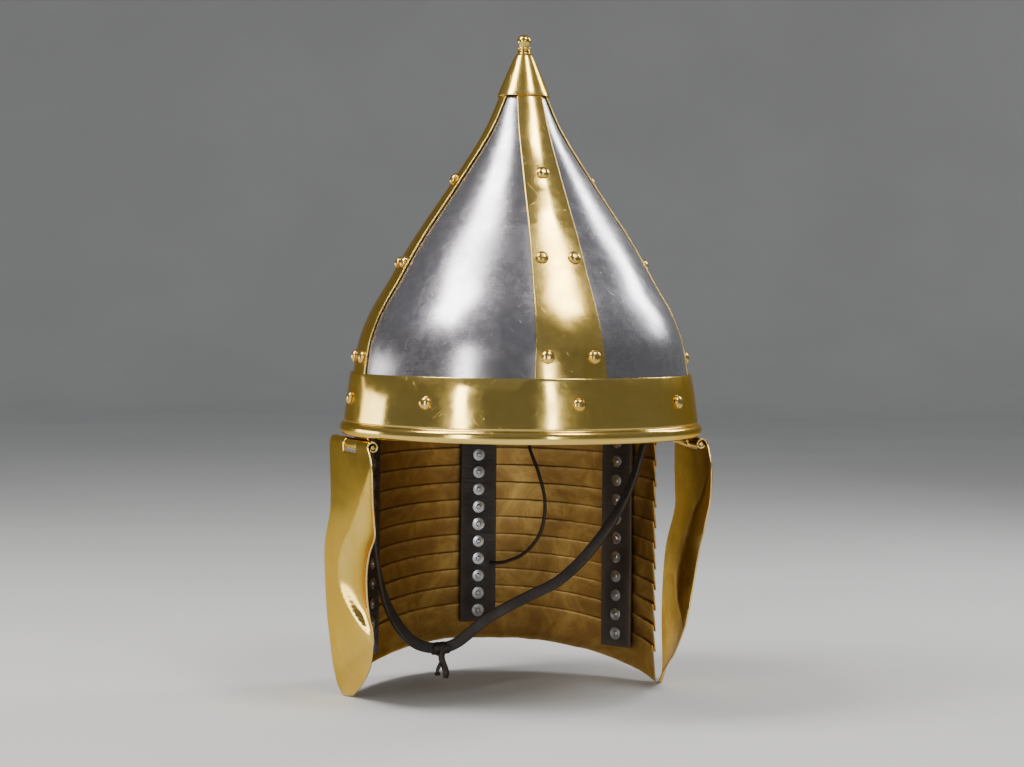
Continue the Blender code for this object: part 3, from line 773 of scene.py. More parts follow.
class NodeGroup(Wiring):
    """One Geometry Nodes tree with named inputs, and the way to run it."""

    def __init__(self, name: str, inputs: dict[str, tuple[str, object]], points_in: bool) -> None:
        """Start a tree.

        Args:
            name: Name of the tree.
            inputs: Socket type and default value of each named input.
            points_in: True where the tree takes the object's own mesh.
        """
        super().__init__(bpy.data.node_groups.new(name, "GeometryNodeTree"))
        face = self.tree.interface
        self.sockets = {}
        if points_in:
            face.new_socket("Geometry", in_out="INPUT", socket_type="NodeSocketGeometry")
        for label, (kind, value) in inputs.items():
            socket = face.new_socket(label, in_out="INPUT", socket_type="NodeSocket" + kind)
            if value is not None:
                socket.default_value = value
            self.sockets[label] = socket.identifier
        face.new_socket("Geometry", in_out="OUTPUT", socket_type="NodeSocketGeometry")
        self.entry = self.tree.nodes.new("NodeGroupInput")
        self.exit = self.tree.nodes.new("NodeGroupOutput")

    def put(self, label: str) -> bpy.types.NodeSocket:
        """Socket of a named input inside the tree."""
        return self.entry.outputs[label]

    def math(self, operation: str, first: object, second: object = 0.0) -> bpy.types.NodeSocket:
        """Combine two values."""
        return self.add("ShaderNodeMath", {0: first, 1: second}, operation=operation).outputs[0]

    def blend(self, factor: object, first: object, second: object) -> bpy.types.NodeSocket:
        """Mix two values."""
        return self.add("ShaderNodeMix", {0: factor, 2: first, 3: second}).outputs[0]

    def vector(self, x: object, y: object, z: object) -> bpy.types.NodeSocket:
        """Join three values to a vector."""
        return self.add("ShaderNodeCombineXYZ", {0: x, 1: y, 2: z}).outputs[0]

    def close(self, geometry: bpy.types.NodeSocket) -> None:
        """End the tree in Realize Instances and Set Material."""
        whole = self.add("GeometryNodeRealizeInstances", {"Geometry": geometry}).outputs[0]
        done = self.add("GeometryNodeSetMaterial", {"Geometry": whole,
                                                    "Material": self.put("Material")}).outputs[0]
        self.feed(self.exit.inputs[0], done)

    def run(self, name: str, values: dict[str, object], mesh: bpy.types.Mesh | None = None,
            bevel: float = 0.0) -> bpy.types.Mesh:
        """Evaluate the tree into a plain mesh.

        Args:
            name: Name of the result.
            values: Value of each named input.
            mesh: Mesh that the tree starts from.
            bevel: Width of a bevel on its sharp edges, or 0.

        Returns:
            The mesh.
        """
        maker = bpy.data.objects.new(name + "_maker", mesh or bpy.data.meshes.new(name + "_seed"))
        bpy.context.scene.collection.objects.link(maker)
        modifier = maker.modifiers.new("Nodes", "NODES")
        modifier.node_group = self.tree
        for label, value in values.items():
            modifier[self.sockets[label]] = value
        if bevel:
            rounding = maker.modifiers.new("Rounding", "BEVEL")
            rounding.width = bevel
            rounding.segments = 2
            rounding.limit_method = "ANGLE"
        depsgraph = bpy.context.evaluated_depsgraph_get()
        made = bpy.data.meshes.new_from_object(maker.evaluated_get(depsgraph), depsgraph=depsgraph)
        made.name = name
        seed = maker.data
        bpy.data.objects.remove(maker)
        bpy.data.meshes.remove(seed)
        return made


def stud_group(hammer_scale: float = 330.0, least: float = 0.95,
               most: float = 1.04) -> NodeGroup:
    """Tree that stands a hand-set rivet head, with or without a washer, on each point.

    Args:
        hammer_scale: Fineness of the hammering.
        least: Size of the smallest head, as a share of its radius.
        most: Size of the largest head.

    Returns:
        The tree. It reads the way out of each point from the attribute out.
    """
    group = NodeGroup("Studs", {
        "Radius": ("Float", 0.004), "Height": ("Float", 0.0027), "Flat": ("Float", 0.93),
        "Washer Radius": ("Float", 0.0), "Washer Height": ("Float", 0.0),
        "Dent": ("Float", 0.0001), "Segments": ("Int", 24), "Seed": ("Int", 1),
        "Material": ("Material", None)}, points_in=True)
    ball = group.add("GeometryNodeMeshUVSphere", {
        "Segments": group.put("Segments"), "Rings": 16, "Radius": 1.0}).outputs["Mesh"]
    spot = group.add("ShaderNodeSeparateXYZ", {
        0: group.add("GeometryNodeInputPosition", {}).outputs[0]})
    crown = group.math("MINIMUM", group.math("MAXIMUM", spot.outputs[2], -0.05), group.put("Flat"))
    lift = group.math("ADD", group.math("MULTIPLY", crown, group.put("Height")),
                      group.put("Washer Height"))
    dome = group.add("GeometryNodeSetPosition", {"Geometry": ball, "Position": group.vector(
        group.math("MULTIPLY", spot.outputs[0], group.put("Radius")),
        group.math("MULTIPLY", spot.outputs[1], group.put("Radius")), lift)}).outputs[0]
    disc = group.add("GeometryNodeMeshCylinder", {
        "Vertices": group.put("Segments"), "Radius": group.put("Washer Radius"),
        "Depth": group.put("Washer Height")}).outputs["Mesh"]
    disc = group.add("GeometryNodeTransform", {"Geometry": disc, "Translation": group.vector(
        0.0, 0.0, group.math("DIVIDE", group.put("Washer Height"), 2.0))}).outputs[0]
    both = group.add("GeometryNodeJoinGeometry", {})
    group.tree.links.new(dome, both.inputs[0])
    group.tree.links.new(disc, both.inputs[0])
    shape = group.add("GeometryNodeSwitch", {
        0: group.math("GREATER_THAN", group.put("Washer Height"), 0.00001),
        1: dome, 2: both.outputs[0]}, input_type="GEOMETRY").outputs[0]
    way = group.add("GeometryNodeInputNamedAttribute", {"Name": "out"}, data_type="FLOAT_VECTOR")
    turn = group.add("FunctionNodeAlignRotationToVector", {"Vector": way.outputs[0]}, axis="Z")
    size = group.add("FunctionNodeRandomValue", {2: least, 3: most, "Seed": group.put("Seed")},
                     data_type="FLOAT").outputs[1]
    placed = group.add("GeometryNodeInstanceOnPoints", {
        "Points": group.put("Geometry"), "Instance": shape, "Rotation": turn.outputs[0],
        "Scale": size}).outputs[0]
    real = group.add("GeometryNodeRealizeInstances", {"Geometry": placed}).outputs[0]
    dents = group.add("ShaderNodeTexNoise", {
        "W": group.put("Seed"), "Scale": hammer_scale, "Detail": 1.0},
        noise_dimensions="4D").outputs[0]
    push = group.math("MULTIPLY", group.math("SUBTRACT", dents, 0.5), group.put("Dent"))
    normal = group.add("GeometryNodeInputNormal", {}).outputs[0]
    offset = group.add("ShaderNodeVectorMath", {0: normal, "Scale": push}, operation="SCALE")
    hammered = group.add("GeometryNodeSetPosition", {"Geometry": real,
                                                     "Offset": offset.outputs[0]}).outputs[0]
    smooth = group.add("GeometryNodeSetShadeSmooth", {"Geometry": hammered}).outputs[0]
    group.close(smooth)
    return group


def lame_group() -> NodeGroup:
    """Tree that bends one lame round the neck, with an uneven lower edge.

    Returns:
        The tree. Middle and end values meet along the square of the way to the end.
    """
    group = NodeGroup("Lame", {
        "Columns": ("Int", 97), "Rows": ("Int", 9), "Half Angle": ("Float", 1.3),
        "Radius Middle": ("Float", 0.1), "Radius End": ("Float", 0.1), "Lean": ("Float", 0.002),
        "Height Middle": ("Float", 0.016), "Height End": ("Float", 0.018),
        "Top Middle": ("Float", 0.0), "Top End": ("Float", 0.0), "Flare": ("Float", 0.0),
        "Wave": ("Float", 0.0004), "Seed": ("Int", 1), "Material": ("Material", None)},
        points_in=False)
    grid = group.add("GeometryNodeMeshGrid", {
        "Size X": 2.0, "Size Y": 1.0, "Vertices X": group.put("Columns"),
        "Vertices Y": group.put("Rows")}).outputs["Mesh"]
    spot = group.add("ShaderNodeSeparateXYZ", {
        0: group.add("GeometryNodeInputPosition", {}).outputs[0]})
    way = spot.outputs[0]
    down = group.math("SUBTRACT", 0.5, spot.outputs[1])
    square = group.math("MULTIPLY", way, way)
    angle = group.math("MULTIPLY", way, group.put("Half Angle"))
    wave = group.add("ShaderNodeTexNoise", {
        "Vector": group.vector(group.math("MULTIPLY", way, 5.0), 0.0, 0.0),
        "W": group.math("MULTIPLY", group.put("Seed"), 7.31), "Scale": 1.0, "Detail": 2.0},
        noise_dimensions="4D").outputs[0]
    wave = group.math("MULTIPLY", group.math("SUBTRACT", wave, 0.5), group.put("Wave"))
    low = group.math("POWER", down, 3.0)
    height = group.blend(square, group.put("Height Middle"), group.put("Height End"))
    height = group.math("ADD", height, group.math("MULTIPLY", wave, 2.0))
    top = group.blend(square, group.put("Top Middle"), group.put("Top End"))
    radius = group.blend(square, group.put("Radius Middle"), group.put("Radius End"))
    radius = group.math("ADD", radius, group.math("MULTIPLY", down, group.put("Lean")))
    flare = group.math("MULTIPLY", group.math("POWER", down, 9.0), group.put("Flare"))
    flare = group.math("ADD", flare, group.math("MULTIPLY", low, wave))
    fade = group.math("SUBTRACT", 1.0, square)
    radius = group.math("ADD", radius, group.math("MULTIPLY", flare, fade))
    level = group.math("SUBTRACT", top, group.math("MULTIPLY", down, height))
    bent = group.add("GeometryNodeSetPosition", {"Geometry": grid, "Position": group.vector(
        group.math("MULTIPLY", group.math("MULTIPLY", radius, group.math("SINE", angle)), -1.0),
        group.math("MULTIPLY", radius, group.math("COSINE", angle)), level)}).outputs[0]
    group.close(bent)
    return group


def seat_points(name: str, spots: np.ndarray, ways: np.ndarray) -> bpy.types.Mesh:
    """Make the mesh of loose points that the stud tree starts from.

    Args:
        name: Name of the mesh.
        spots: Place of each stud's foot.
        ways: Direction in which each stud stands.

    Returns:
        The mesh, with the attribute out.
    """
    mesh = bpy.data.meshes.new(name)
    mesh.from_pydata(spots.tolist(), [], [])
    attribute = mesh.attributes.new("out", "FLOAT_VECTOR", "POINT")
    attribute.data.foreach_set("vector", unit(ways).astype(np.float32).ravel())
    return mesh


# Camera, light and floor


@dataclass(frozen=True)
class SoftBox:
    """One soft light that looks at the helmet."""

    name: str
    place: Spot
    width: float
    height: float
    power: float
    colour: Spot = (1.0, 1.0, 1.0)
    target: Spot = (0.0, 0.0, 0.05)

    def hang(self) -> None:
        """Hang the light."""
        light = bpy.data.lights.new(self.name, "AREA")
        light.shape = "RECTANGLE"
        light.size, light.size_y = self.width, self.height
        light.energy = self.power
        light.color = self.colour
        item = bpy.data.objects.new(self.name, light)
        item.location = self.place
        way = Vector(self.target) - Vector(self.place)
        item.rotation_euler = way.to_track_quat("-Z", "Y").to_euler()
        bpy.context.scene.collection.objects.link(item)


@dataclass(frozen=True)
class Studio:
    """Camera at the photograph's angle, soft light and a round floor that sweeps up all round."""

    azimuth: float = math.radians(-16.6)
    distance: float = 1.36
    eye_height: float = 0.084
    focal_pixels: float = 2160.0
    image_width: float = 1024.0
    image_height: float = 767.0
    horizon: float = 300.0
    axis_column: float = 521.0
    roll: float = math.radians(0.5)
    floor_finish: FloorFinish = FloorFinish()
    floor_radius: float = 3.4
    sweep_radius: float = 1.3
    wall_height: float = 2.2
    floor_gap: float = 0.0004
    sweep_steps: int = 16
    floor_sides: int = 96
    ambient: Row = (0.86, 0.88, 0.92, 1.0)
    ambient_strength: float = 0.26
    sensor_width: float = 36.0
    lights: tuple[SoftBox, ...] = (
        SoftBox("Left overhead", (-0.67, -0.06, 0.95), 0.34, 0.62, 12.5, (1.0, 0.98, 0.96)),
        SoftBox("Right overhead", (0.33, -0.62, 1.10), 0.28, 0.40, 7.5, (1.0, 0.97, 0.93)),
        SoftBox("Right rear", (0.99, 0.29, 0.66), 0.26, 0.50, 6.5, (0.98, 0.99, 1.0)),
        SoftBox("Left strip", (-1.05, -0.78, 0.18), 0.16, 0.80, 6.0, (1.0, 0.98, 0.95)),
        SoftBox("Front strip", (0.05, -1.55, 0.20), 0.13, 0.60, 3.0),
        SoftBox("Left rear", (-1.15, 0.80, 0.02), 0.60, 0.34, 4.0, (1.0, 0.98, 0.95),
                (-0.10, 0.0, -0.06)),
    )

    def set_camera(self) -> None:
        """Put the camera where it matches the photograph's frame."""
        data = bpy.data.cameras.new("Camera")
        data.sensor_width = self.sensor_width
        data.lens = self.sensor_width * self.focal_pixels / self.image_width
        data.clip_end = 50.0
        camera = bpy.data.objects.new("Camera", data)
        camera.location = (self.distance * math.sin(self.azimuth),
                           -self.distance * math.cos(self.azimuth), self.eye_height)
        pitch = math.atan((self.image_height / 2 - self.horizon) / self.focal_pixels)
        yaw = math.atan((self.axis_column - self.image_width / 2) / self.focal_pixels)
        turned = (Matrix.Rotation(self.azimuth + yaw, 3, "Z")
                  @ Matrix.Rotation(math.pi / 2 - pitch, 3, "X")
                  @ Matrix.Rotation(self.roll, 3, "Z"))
        camera.rotation_euler = turned.to_euler()
        bpy.context.scene.collection.objects.link(camera)
        bpy.context.scene.camera = camera

    def lay_floor(self, level: float) -> None:
        """Lay the round floor with its sweep and wall.

        Args:
            level: Height of the floor.
        """
        section = [(0.0, level), (self.floor_radius, level)]
        for step in range(1, self.sweep_steps + 1):
            angle = math.pi / 2 * step / self.sweep_steps
            section.append((self.floor_radius + self.sweep_radius * math.sin(angle),
                            level + self.sweep_radius * (1 - math.cos(angle))))
        section.append((section[-1][0], level + self.wall_height))
        angles = np.linspace(0.0, 2 * math.pi, self.floor_sides, endpoint=False)
        line = np.array(section[1:])
        rings = around(line[:, None, 0], angles[None, :], line[:, None, 1]).reshape(-1, 3)
        index = np.arange(len(rings)).reshape(len(line), -1)
        after = np.roll(index, -1, axis=1)
        faces = np.stack([index[:-1], after[:-1], after[1:], index[1:]], -1).reshape(-1, 4)
        mesh = bpy.data.meshes.new("Floor")
        mesh.from_pydata(rings.tolist(), [], [index[0].tolist()] + faces[:, ::-1].tolist())
        mesh.shade_smooth()
        mesh.materials.append(self.floor_finish.material())
        floor = bpy.data.objects.new("Floor", mesh)
        bpy.context.scene.collection.objects.link(floor)
        floor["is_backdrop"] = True

    def light(self) -> None:
        """Hang the lights and set the ambient light."""
        for box in self.lights:
            box.hang()
        world = bpy.data.worlds.new("Studio")
        world.use_nodes = True
        back = world.node_tree.nodes["Background"]
        back.inputs["Color"].default_value = self.ambient
        back.inputs["Strength"].default_value = self.ambient_strength
        bpy.context.scene.world = world


# Cords


@dataclass(frozen=True)
class Lace:
    """One leather lace along a route that is given in shares of the shell's radius."""

    name: str
    node: str
    route: tuple[Spot, ...]
    width: float
    thickness: float
    unit_length: float
    twist: float
    stiffness: str
    steps: int = 160
    curve_points: int = 1200

    def path(self) -> np.ndarray:
        """Even points along the route's smooth curve."""
        spots = np.array(self.route) * self.unit_length
        lengths = lengths_along(spots)
        places = np.linspace(0.0, lengths[-1], self.curve_points)
        fine = np.stack([Profile(list(zip(lengths, spots[:, axis]))).at(places)
                         for axis in range(3)], -1)
        return resampled(fine, self.steps + 1)

    def build(self, material: bpy.types.Material,
              companions: Sequence[bpy.types.Object] = ()) -> bpy.types.Object:
        """Args:
            material: Its finish.
            companions: Not used.

        Returns:
            The piece.
        """
        path = self.path()
        share = np.linspace(0.0, 1.0, len(path))
        turn = self.twist * np.sin(math.pi * share) ** 0.7
        across = np.stack([np.zeros_like(turn), np.cos(turn), np.sin(turn)], -1)
        square = 0.45 if self.thickness < self.width else 1.0
        mesh = tube_mesh(self.name, path, across, self.width, self.thickness, power=square)
        piece = add_piece(self.name, mesh, material, Body.HELMET, (self.node,))
        return piece


@dataclass(frozen=True)
class Cords:
    """Chin strap with its knot, and the thin thong behind it."""

    shell_radius: float = 0.1078
    strap_width: float = 0.0070
    strap_thickness: float = 0.0030
    thong_diameter: float = 0.0023
    knot_share: float = 0.565
    knot_turns: float = 2.25
    knot_length: float = 0.0085
    knot_width: float = 0.0042
    knot_thickness: float = 0.0022
    knot_reach: float = 0.42
    knot_steps: int = 150
    tail_drops: tuple[float, float] = (0.019, 0.014)
    tail_spread: float = 0.004
    tail_forward: float = 0.0015
    tail_curl: float = 0.0022
    strap_route: tuple[Spot, ...] = (
        (0.9610, 0.1299, 0.1484), (0.9045, 0.1252, 0.1391), (0.8534, 0.1224, 0.0788),
        (0.8210, 0.1224, -0.0464), (0.7050, 0.1438, -0.3989), (0.5056, 0.1670, -0.7032),
        (0.2922, 0.1716, -0.8998), (0.1058, 0.1716, -0.9852), (-0.1354, 0.1716, -1.1039),
        (-0.3850, 0.1670, -1.2662), (-0.5751, 0.1688, -1.2430), (-0.7328, 0.1763, -1.0482),
        (-0.8163, 0.1855, -0.7236), (-0.8488, 0.1855, -0.3247), (-0.8581, 0.1855, 0.0093),
        (-0.8813, 0.1855, 0.1020), (-0.9406, 0.1976, 0.1438),
    )
    thong_route: tuple[Spot, ...] = (
        (0.3015, 0.9276, 0.1299), (0.2950, 0.8766, 0.1020), (0.2876, 0.8256, 0.0000),
        (0.2894, 0.7792, -0.1299), (0.3340, 0.7050, -0.3061), (0.3618, 0.6679, -0.4824),
        (0.3386, 0.6818, -0.6586), (0.2597, 0.7375, -0.7885), (0.1577, 0.8163, -0.8534),
        (0.0788, 0.8924, -0.8720),
    )

    def knot(self, path: np.ndarray, material: bpy.types.Material) -> bpy.types.Object:
        """Tie the knot with its two short tails on the strap.

        Args:
            path: Points along the strap.
            material: Finish of the lace.

        Returns:
            The knot.
        """
        place = round(self.knot_share * (len(path) - 1))
        middle = path[place]
        ahead = unit(path[place + 3] - path[place - 3])
        side = unit(np.cross(ahead, np.array([0.0, 1.0, 0.0])))
        front = np.cross(side, ahead)
        reach = self.strap_width * self.knot_reach
        t = np.linspace(0.0, 1.0, 90)
        angle = 2 * math.pi * self.knot_turns * t - math.pi / 2
        loop = (middle + ahead * (t[:, None] - 0.5) * self.knot_length
                + side * np.cos(angle)[:, None] * reach
                + front * np.sin(angle)[:, None] * reach)
        tails = []
        for end, way, drop in zip(loop[[0, -1]], (-1.0, 1.0), self.tail_drops):
            s = np.linspace(0.0, 1.0, 24)[1:, None]
            aside = np.array([self.tail_spread * way, -self.tail_forward, 0.0])
            tails.append(end + aside * np.sqrt(s) - np.array([0.0, 0.0, drop]) * s**1.3
                         + np.array([self.tail_curl, 0.0, 0.0]) * np.sin(s * 5.0) * way)
        line = resampled(np.concatenate([tails[0][::-1], loop, tails[1]]), self.knot_steps)
        outward = line - (middle + ahead * ((line - middle) @ ahead)[:, None])
        across = np.cross(unit(np.gradient(line, axis=0)), unit(outward))
        mesh = tube_mesh("chin_strap_knot", line, across, self.knot_width,
                         self.knot_thickness, sides=12)
        return add_piece("chin_strap_knot", mesh, material, Body.HELMET)

    def build(self, finishes: Finishes) -> None:
        """Build both cords and the knot."""
        strap = Lace("chin_strap_lace", "chin_strap", self.strap_route, self.strap_width,
                     self.strap_thickness, self.shell_radius, math.radians(78), "limp")
        knot = self.knot(strap.path(), finishes.cord)
        strap.build(finishes.cord, (knot,))
        Lace("thong_lace", "thong", self.thong_route, self.thong_diameter, self.thong_diameter,
             self.shell_radius, 0.0, "limp", 90).build(finishes.cord)


# Bowl


@dataclass(frozen=True)
class BowlForm:
    """Ogee of the steel shell, which every layer of the bowl follows."""

    radius: float = 0.1078
    foot: float = 0.010
    height: float = 0.206
    wall: float = 0.0010
    rows: int = 12
    form: tuple[Row, ...] = (
        (0.000, 1.000), (0.136, 0.965), (0.238, 0.930), (0.320, 0.867), (0.406, 0.771),
        (0.532, 0.632), (0.712, 0.403), (0.873, 0.212), (1.000, 0.108),
    )

    @property
    def top(self) -> float:
        """Height of the shell's upper edge."""
        return self.foot + self.height

    def radius_at(self, height: np.ndarray | float) -> np.ndarray:
        """Outer radius of the shell at a height."""
        share = (np.asarray(height) - self.foot) / self.height
        return self.radius * Profile(self.form).at(share)

    def section(self, height: np.ndarray | float,
                offset: float = 0.0) -> tuple[np.ndarray, np.ndarray]:
        """Find the section of a layer that stands off the shell.

        Args:
            height: Heights on the shell.
            offset: Distance of the layer from the shell's outer face.

        Returns:
            The radii and heights of the layer.
        """
        height = np.asarray(height, float)
        reach = self.height / self.rows / 4
        slope = (self.radius_at(height + reach) - self.radius_at(height - reach)) / (2 * reach)
        size = np.sqrt(1 + slope**2)
        return self.radius_at(height) + offset / size, height - offset * slope / size

    def point(self, height: np.ndarray | float, angle: np.ndarray | float,
              offset: float = 0.0) -> np.ndarray:
        """Points of a layer at angles from the front."""
        radius, level = self.section(height, offset)
        return around(radius, angle, level)


@dataclass(frozen=True)
class SteelPanels:
    """Four quarter shells whose seams lie under the bands."""

    form: BowlForm
    columns: int = 48
    rows: int = 84
    seam_inset: float = 0.004

    def build(self, finishes: Finishes) -> None:
        """Build and dress the panels."""
        heights = edged(self.form.foot, self.form.top, self.rows, RIM_INSET)[:, None]
        for quarter, name in enumerate(("front_left", "back_left", "back_right", "front_right")):
            start = quarter * math.pi / 2
            angles = edged(start, start + math.pi / 2, self.columns, self.seam_inset)[None, :]
            grid = self.form.point(heights, angles)
            middle = start + math.pi / 4
            grid += around(SEAT_GAP / math.sqrt(2), middle, 0.0)
            add_piece("bowl_panel_" + name, Sheet(grid, self.form.wall).mesh("panel_" + name),
                      finishes.steel, Body.HELMET, ("panel_" + name,))


@dataclass(frozen=True)
class Bands:
    """Four tapering bands over the seams."""

    form: BowlForm
    gap: float = 0.0005
    wall: float = 0.0010
    foot: float = 0.0130
    top: float = 0.2145
    width: float = 0.044
    columns: int = 14
    rows: int = 84
    edge_share: float = 0.012
    taper: tuple[Row, ...] = ((0.00, 1.05), (0.12, 1.00), (0.48, 0.71), (0.74, 0.51), (1.00, 0.33))
    turns: tuple[tuple[str, float], ...] = (
        ("front", 0.0), ("left", math.radians(-3.0)), ("back", 0.0),
        ("right", math.radians(-4.0)),
    )

    def angle(self, height: np.ndarray | float, share: np.ndarray | float) -> np.ndarray:
        """Angle from a band's middle to a share of its width at a height."""
        place = (np.asarray(height) - self.foot) / (self.top - self.foot)
        return share * self.width * Profile(self.taper).at(place) / self.form.radius_at(height)

    def middle(self, order: int) -> float:
        """Angle of a band's middle from the front."""
        return order * math.pi / 2 + self.turns[order][1]

    def build(self, finishes: Finishes) -> None:
        """Build and dress the bands."""
        heights = edged(self.foot, self.top, self.rows, RIM_INSET)[:, None]
        shares = edged(-0.5, 0.5, self.columns, self.edge_share)[None, :]
        for order, (name, _) in enumerate(self.turns):
            angles = self.middle(order) + self.angle(heights, shares)
            grid = self.form.point(heights, angles, self.gap + self.wall)
            add_piece("bowl_band_" + name, Sheet(grid, self.wall).mesh("band_" + name),
                      finishes.brass, Body.HELMET, ("band_" + name,))


@dataclass(frozen=True)
class BrowBand:
    """Ring round the foot of the bowl, with a crease and a rounded lip."""

    form: BowlForm
    bands: Bands
    wall: float = 0.0011
    top: float = 0.038
    room: float = 0.0007
    lip_height: float = 0.0075
    lip_reach: float = 0.0023
    crease: float = 0.0006
    crease_rise: float = 0.0006
    crease_end: float = 0.0013
    crease_share: float = 0.4
    face_rise: float = 0.0022
    hammered: float = 0.0012
    hammered_height: float = 0.012
    hammered_width: float = 0.024
    hammered_fade: float = 0.012
    lip_steps: int = 16
    steps: int = 240

    @property
    def standoff(self) -> float:
        """Distance of the ring's inner face from the shell."""
        return self.bands.gap + self.bands.wall + self.room

    def section(self) -> list[tuple[float, float]]:
        """Section of the ring, up its outer side and down inside."""
        inner = np.stack(self.form.section(np.linspace(self.top, self.lip_height, 10),
                                           self.standoff), -1).tolist()
        rising = np.linspace(self.lip_height + self.face_rise, self.top, 14)
        outer = np.stack(self.form.section(rising, self.standoff + self.wall), -1).tolist()
        face = float(self.form.section(self.lip_height, self.standoff + self.wall)[0])
        foot = float(self.form.section(self.lip_height, self.standoff)[0])
        lip = []
        for step in range(self.lip_steps + 1):
            angle = -math.pi / 2 + math.pi * step / self.lip_steps
            lip.append((face + self.lip_reach * math.cos(angle),
                        self.lip_height / 2 * (1 + math.sin(angle))))
        lip.append((face - self.crease, self.lip_height + self.crease_rise))
        lip.append((face - self.crease * self.crease_share, self.lip_height + self.crease_end))
        section = [(foot, self.lip_height / 2)] + lip + outer + inner
        return rounded(section)

    def hammer(self, mesh: bpy.types.Mesh) -> None:
        """Set the top edge down on the panels, between the bands.

        Args:
            mesh: Mesh of the ring, changed in place.
        """
        spots = read_points(mesh)
        angle = np.arctan2(spots[:, 0], -spots[:, 1])
        middles = np.array([self.bands.middle(order) for order in range(4)])
        aside = np.abs((angle[:, None] - middles + math.pi) % (2 * math.pi) - math.pi).min(axis=1)
        away = np.clip((aside * self.form.radius - self.hammered_width) / self.hammered_fade,
                       0.0, 1.0)
        rise = np.clip((spots[:, 2] - self.top) / self.hammered_height + 1.0, 0.0, 1.0)
        drawn = self.hammered * away**2 * (3 - 2 * away) * rise**2
        spots[:, :2] *= 1 - drawn[:, None] / np.linalg.norm(spots[:, :2], axis=1)[:, None]
        mesh.vertices.foreach_set("co", spots.ravel())
        mesh.update()

    def build(self, finishes: Finishes) -> None:
        """Build and dress the ring."""
        mesh = lathe_mesh("brow_band", self.section(), self.steps, closed=True)
        self.hammer(mesh)
        add_piece("brow_ring", mesh, finishes.brass, Body.HELMET, ("brow_band",))


@dataclass(frozen=True)
class Finial:
    """Cone cap with its neck, collar and ball, hollow under the cone."""

    form: BowlForm
    bands: Bands
    foot: float = 0.2112
    height: float = 0.0290
    wall: float = 0.0010
    tip_radius: float = 0.0040
    neck_radius: float = 0.0029
    collar_radius: float = 0.00445
    collar_height: float = 0.0020
    collar_share: float = 0.45
    collar_bevel: float = 0.0003
    neck_step: float = 0.0006
    neck_rise: float = 0.0002
    ball_radius: float = 0.0043
    ball_height: float = 0.0078
    waist_share: float = 0.93
    swell: float = 0.0003
    solid_sides: int = 20
    steps: int = 96

    def build(self, finishes: Finishes) -> None:
        """Build and dress the cap."""
        layers = self.bands.gap + self.bands.wall + SEAT_GAP
        inner = float(self.form.section(self.foot, layers)[0])
        inner = inner / math.cos(math.pi / self.solid_sides) + SEAT_GAP / 2
        cone_top = self.foot + self.height
        collar_top = cone_top + self.collar_height
        ball = collar_top + self.ball_height / 2
        waist = self.height * self.waist_share
        section = [(0.0, cone_top - self.wall), (self.tip_radius - self.wall, cone_top - self.wall),
                   (inner, self.foot), (inner + self.wall, self.foot)]
        for share in np.linspace(0.12, 0.88, 8):
            flat = inner + self.wall + (self.tip_radius - inner - self.wall) * share
            section.append((flat + self.swell * math.sin(math.pi * share),
                            self.foot + self.height * share))
        section += [(self.tip_radius, self.foot + waist), (self.tip_radius, cone_top),
                    (self.neck_radius + self.neck_step, cone_top + self.neck_rise),
                    (self.collar_radius, cone_top + self.collar_height * self.collar_share),
                    (self.collar_radius, collar_top - self.collar_bevel),
                    (self.neck_radius, collar_top + self.collar_bevel)]
        section = rounded(section)
        for degrees in range(-45, 90, 9):
            angle = math.radians(degrees)
            section.append((self.ball_radius * math.cos(angle),
                            ball + self.ball_height / 2 * math.sin(angle)))
        section.append((0.0, ball + self.ball_height / 2))
        mesh = lathe_mesh("finial_cap", section, self.steps, closed=False)
        add_piece("cap_and_ball", mesh, finishes.brass, Body.HELMET, ("finial_cap",))


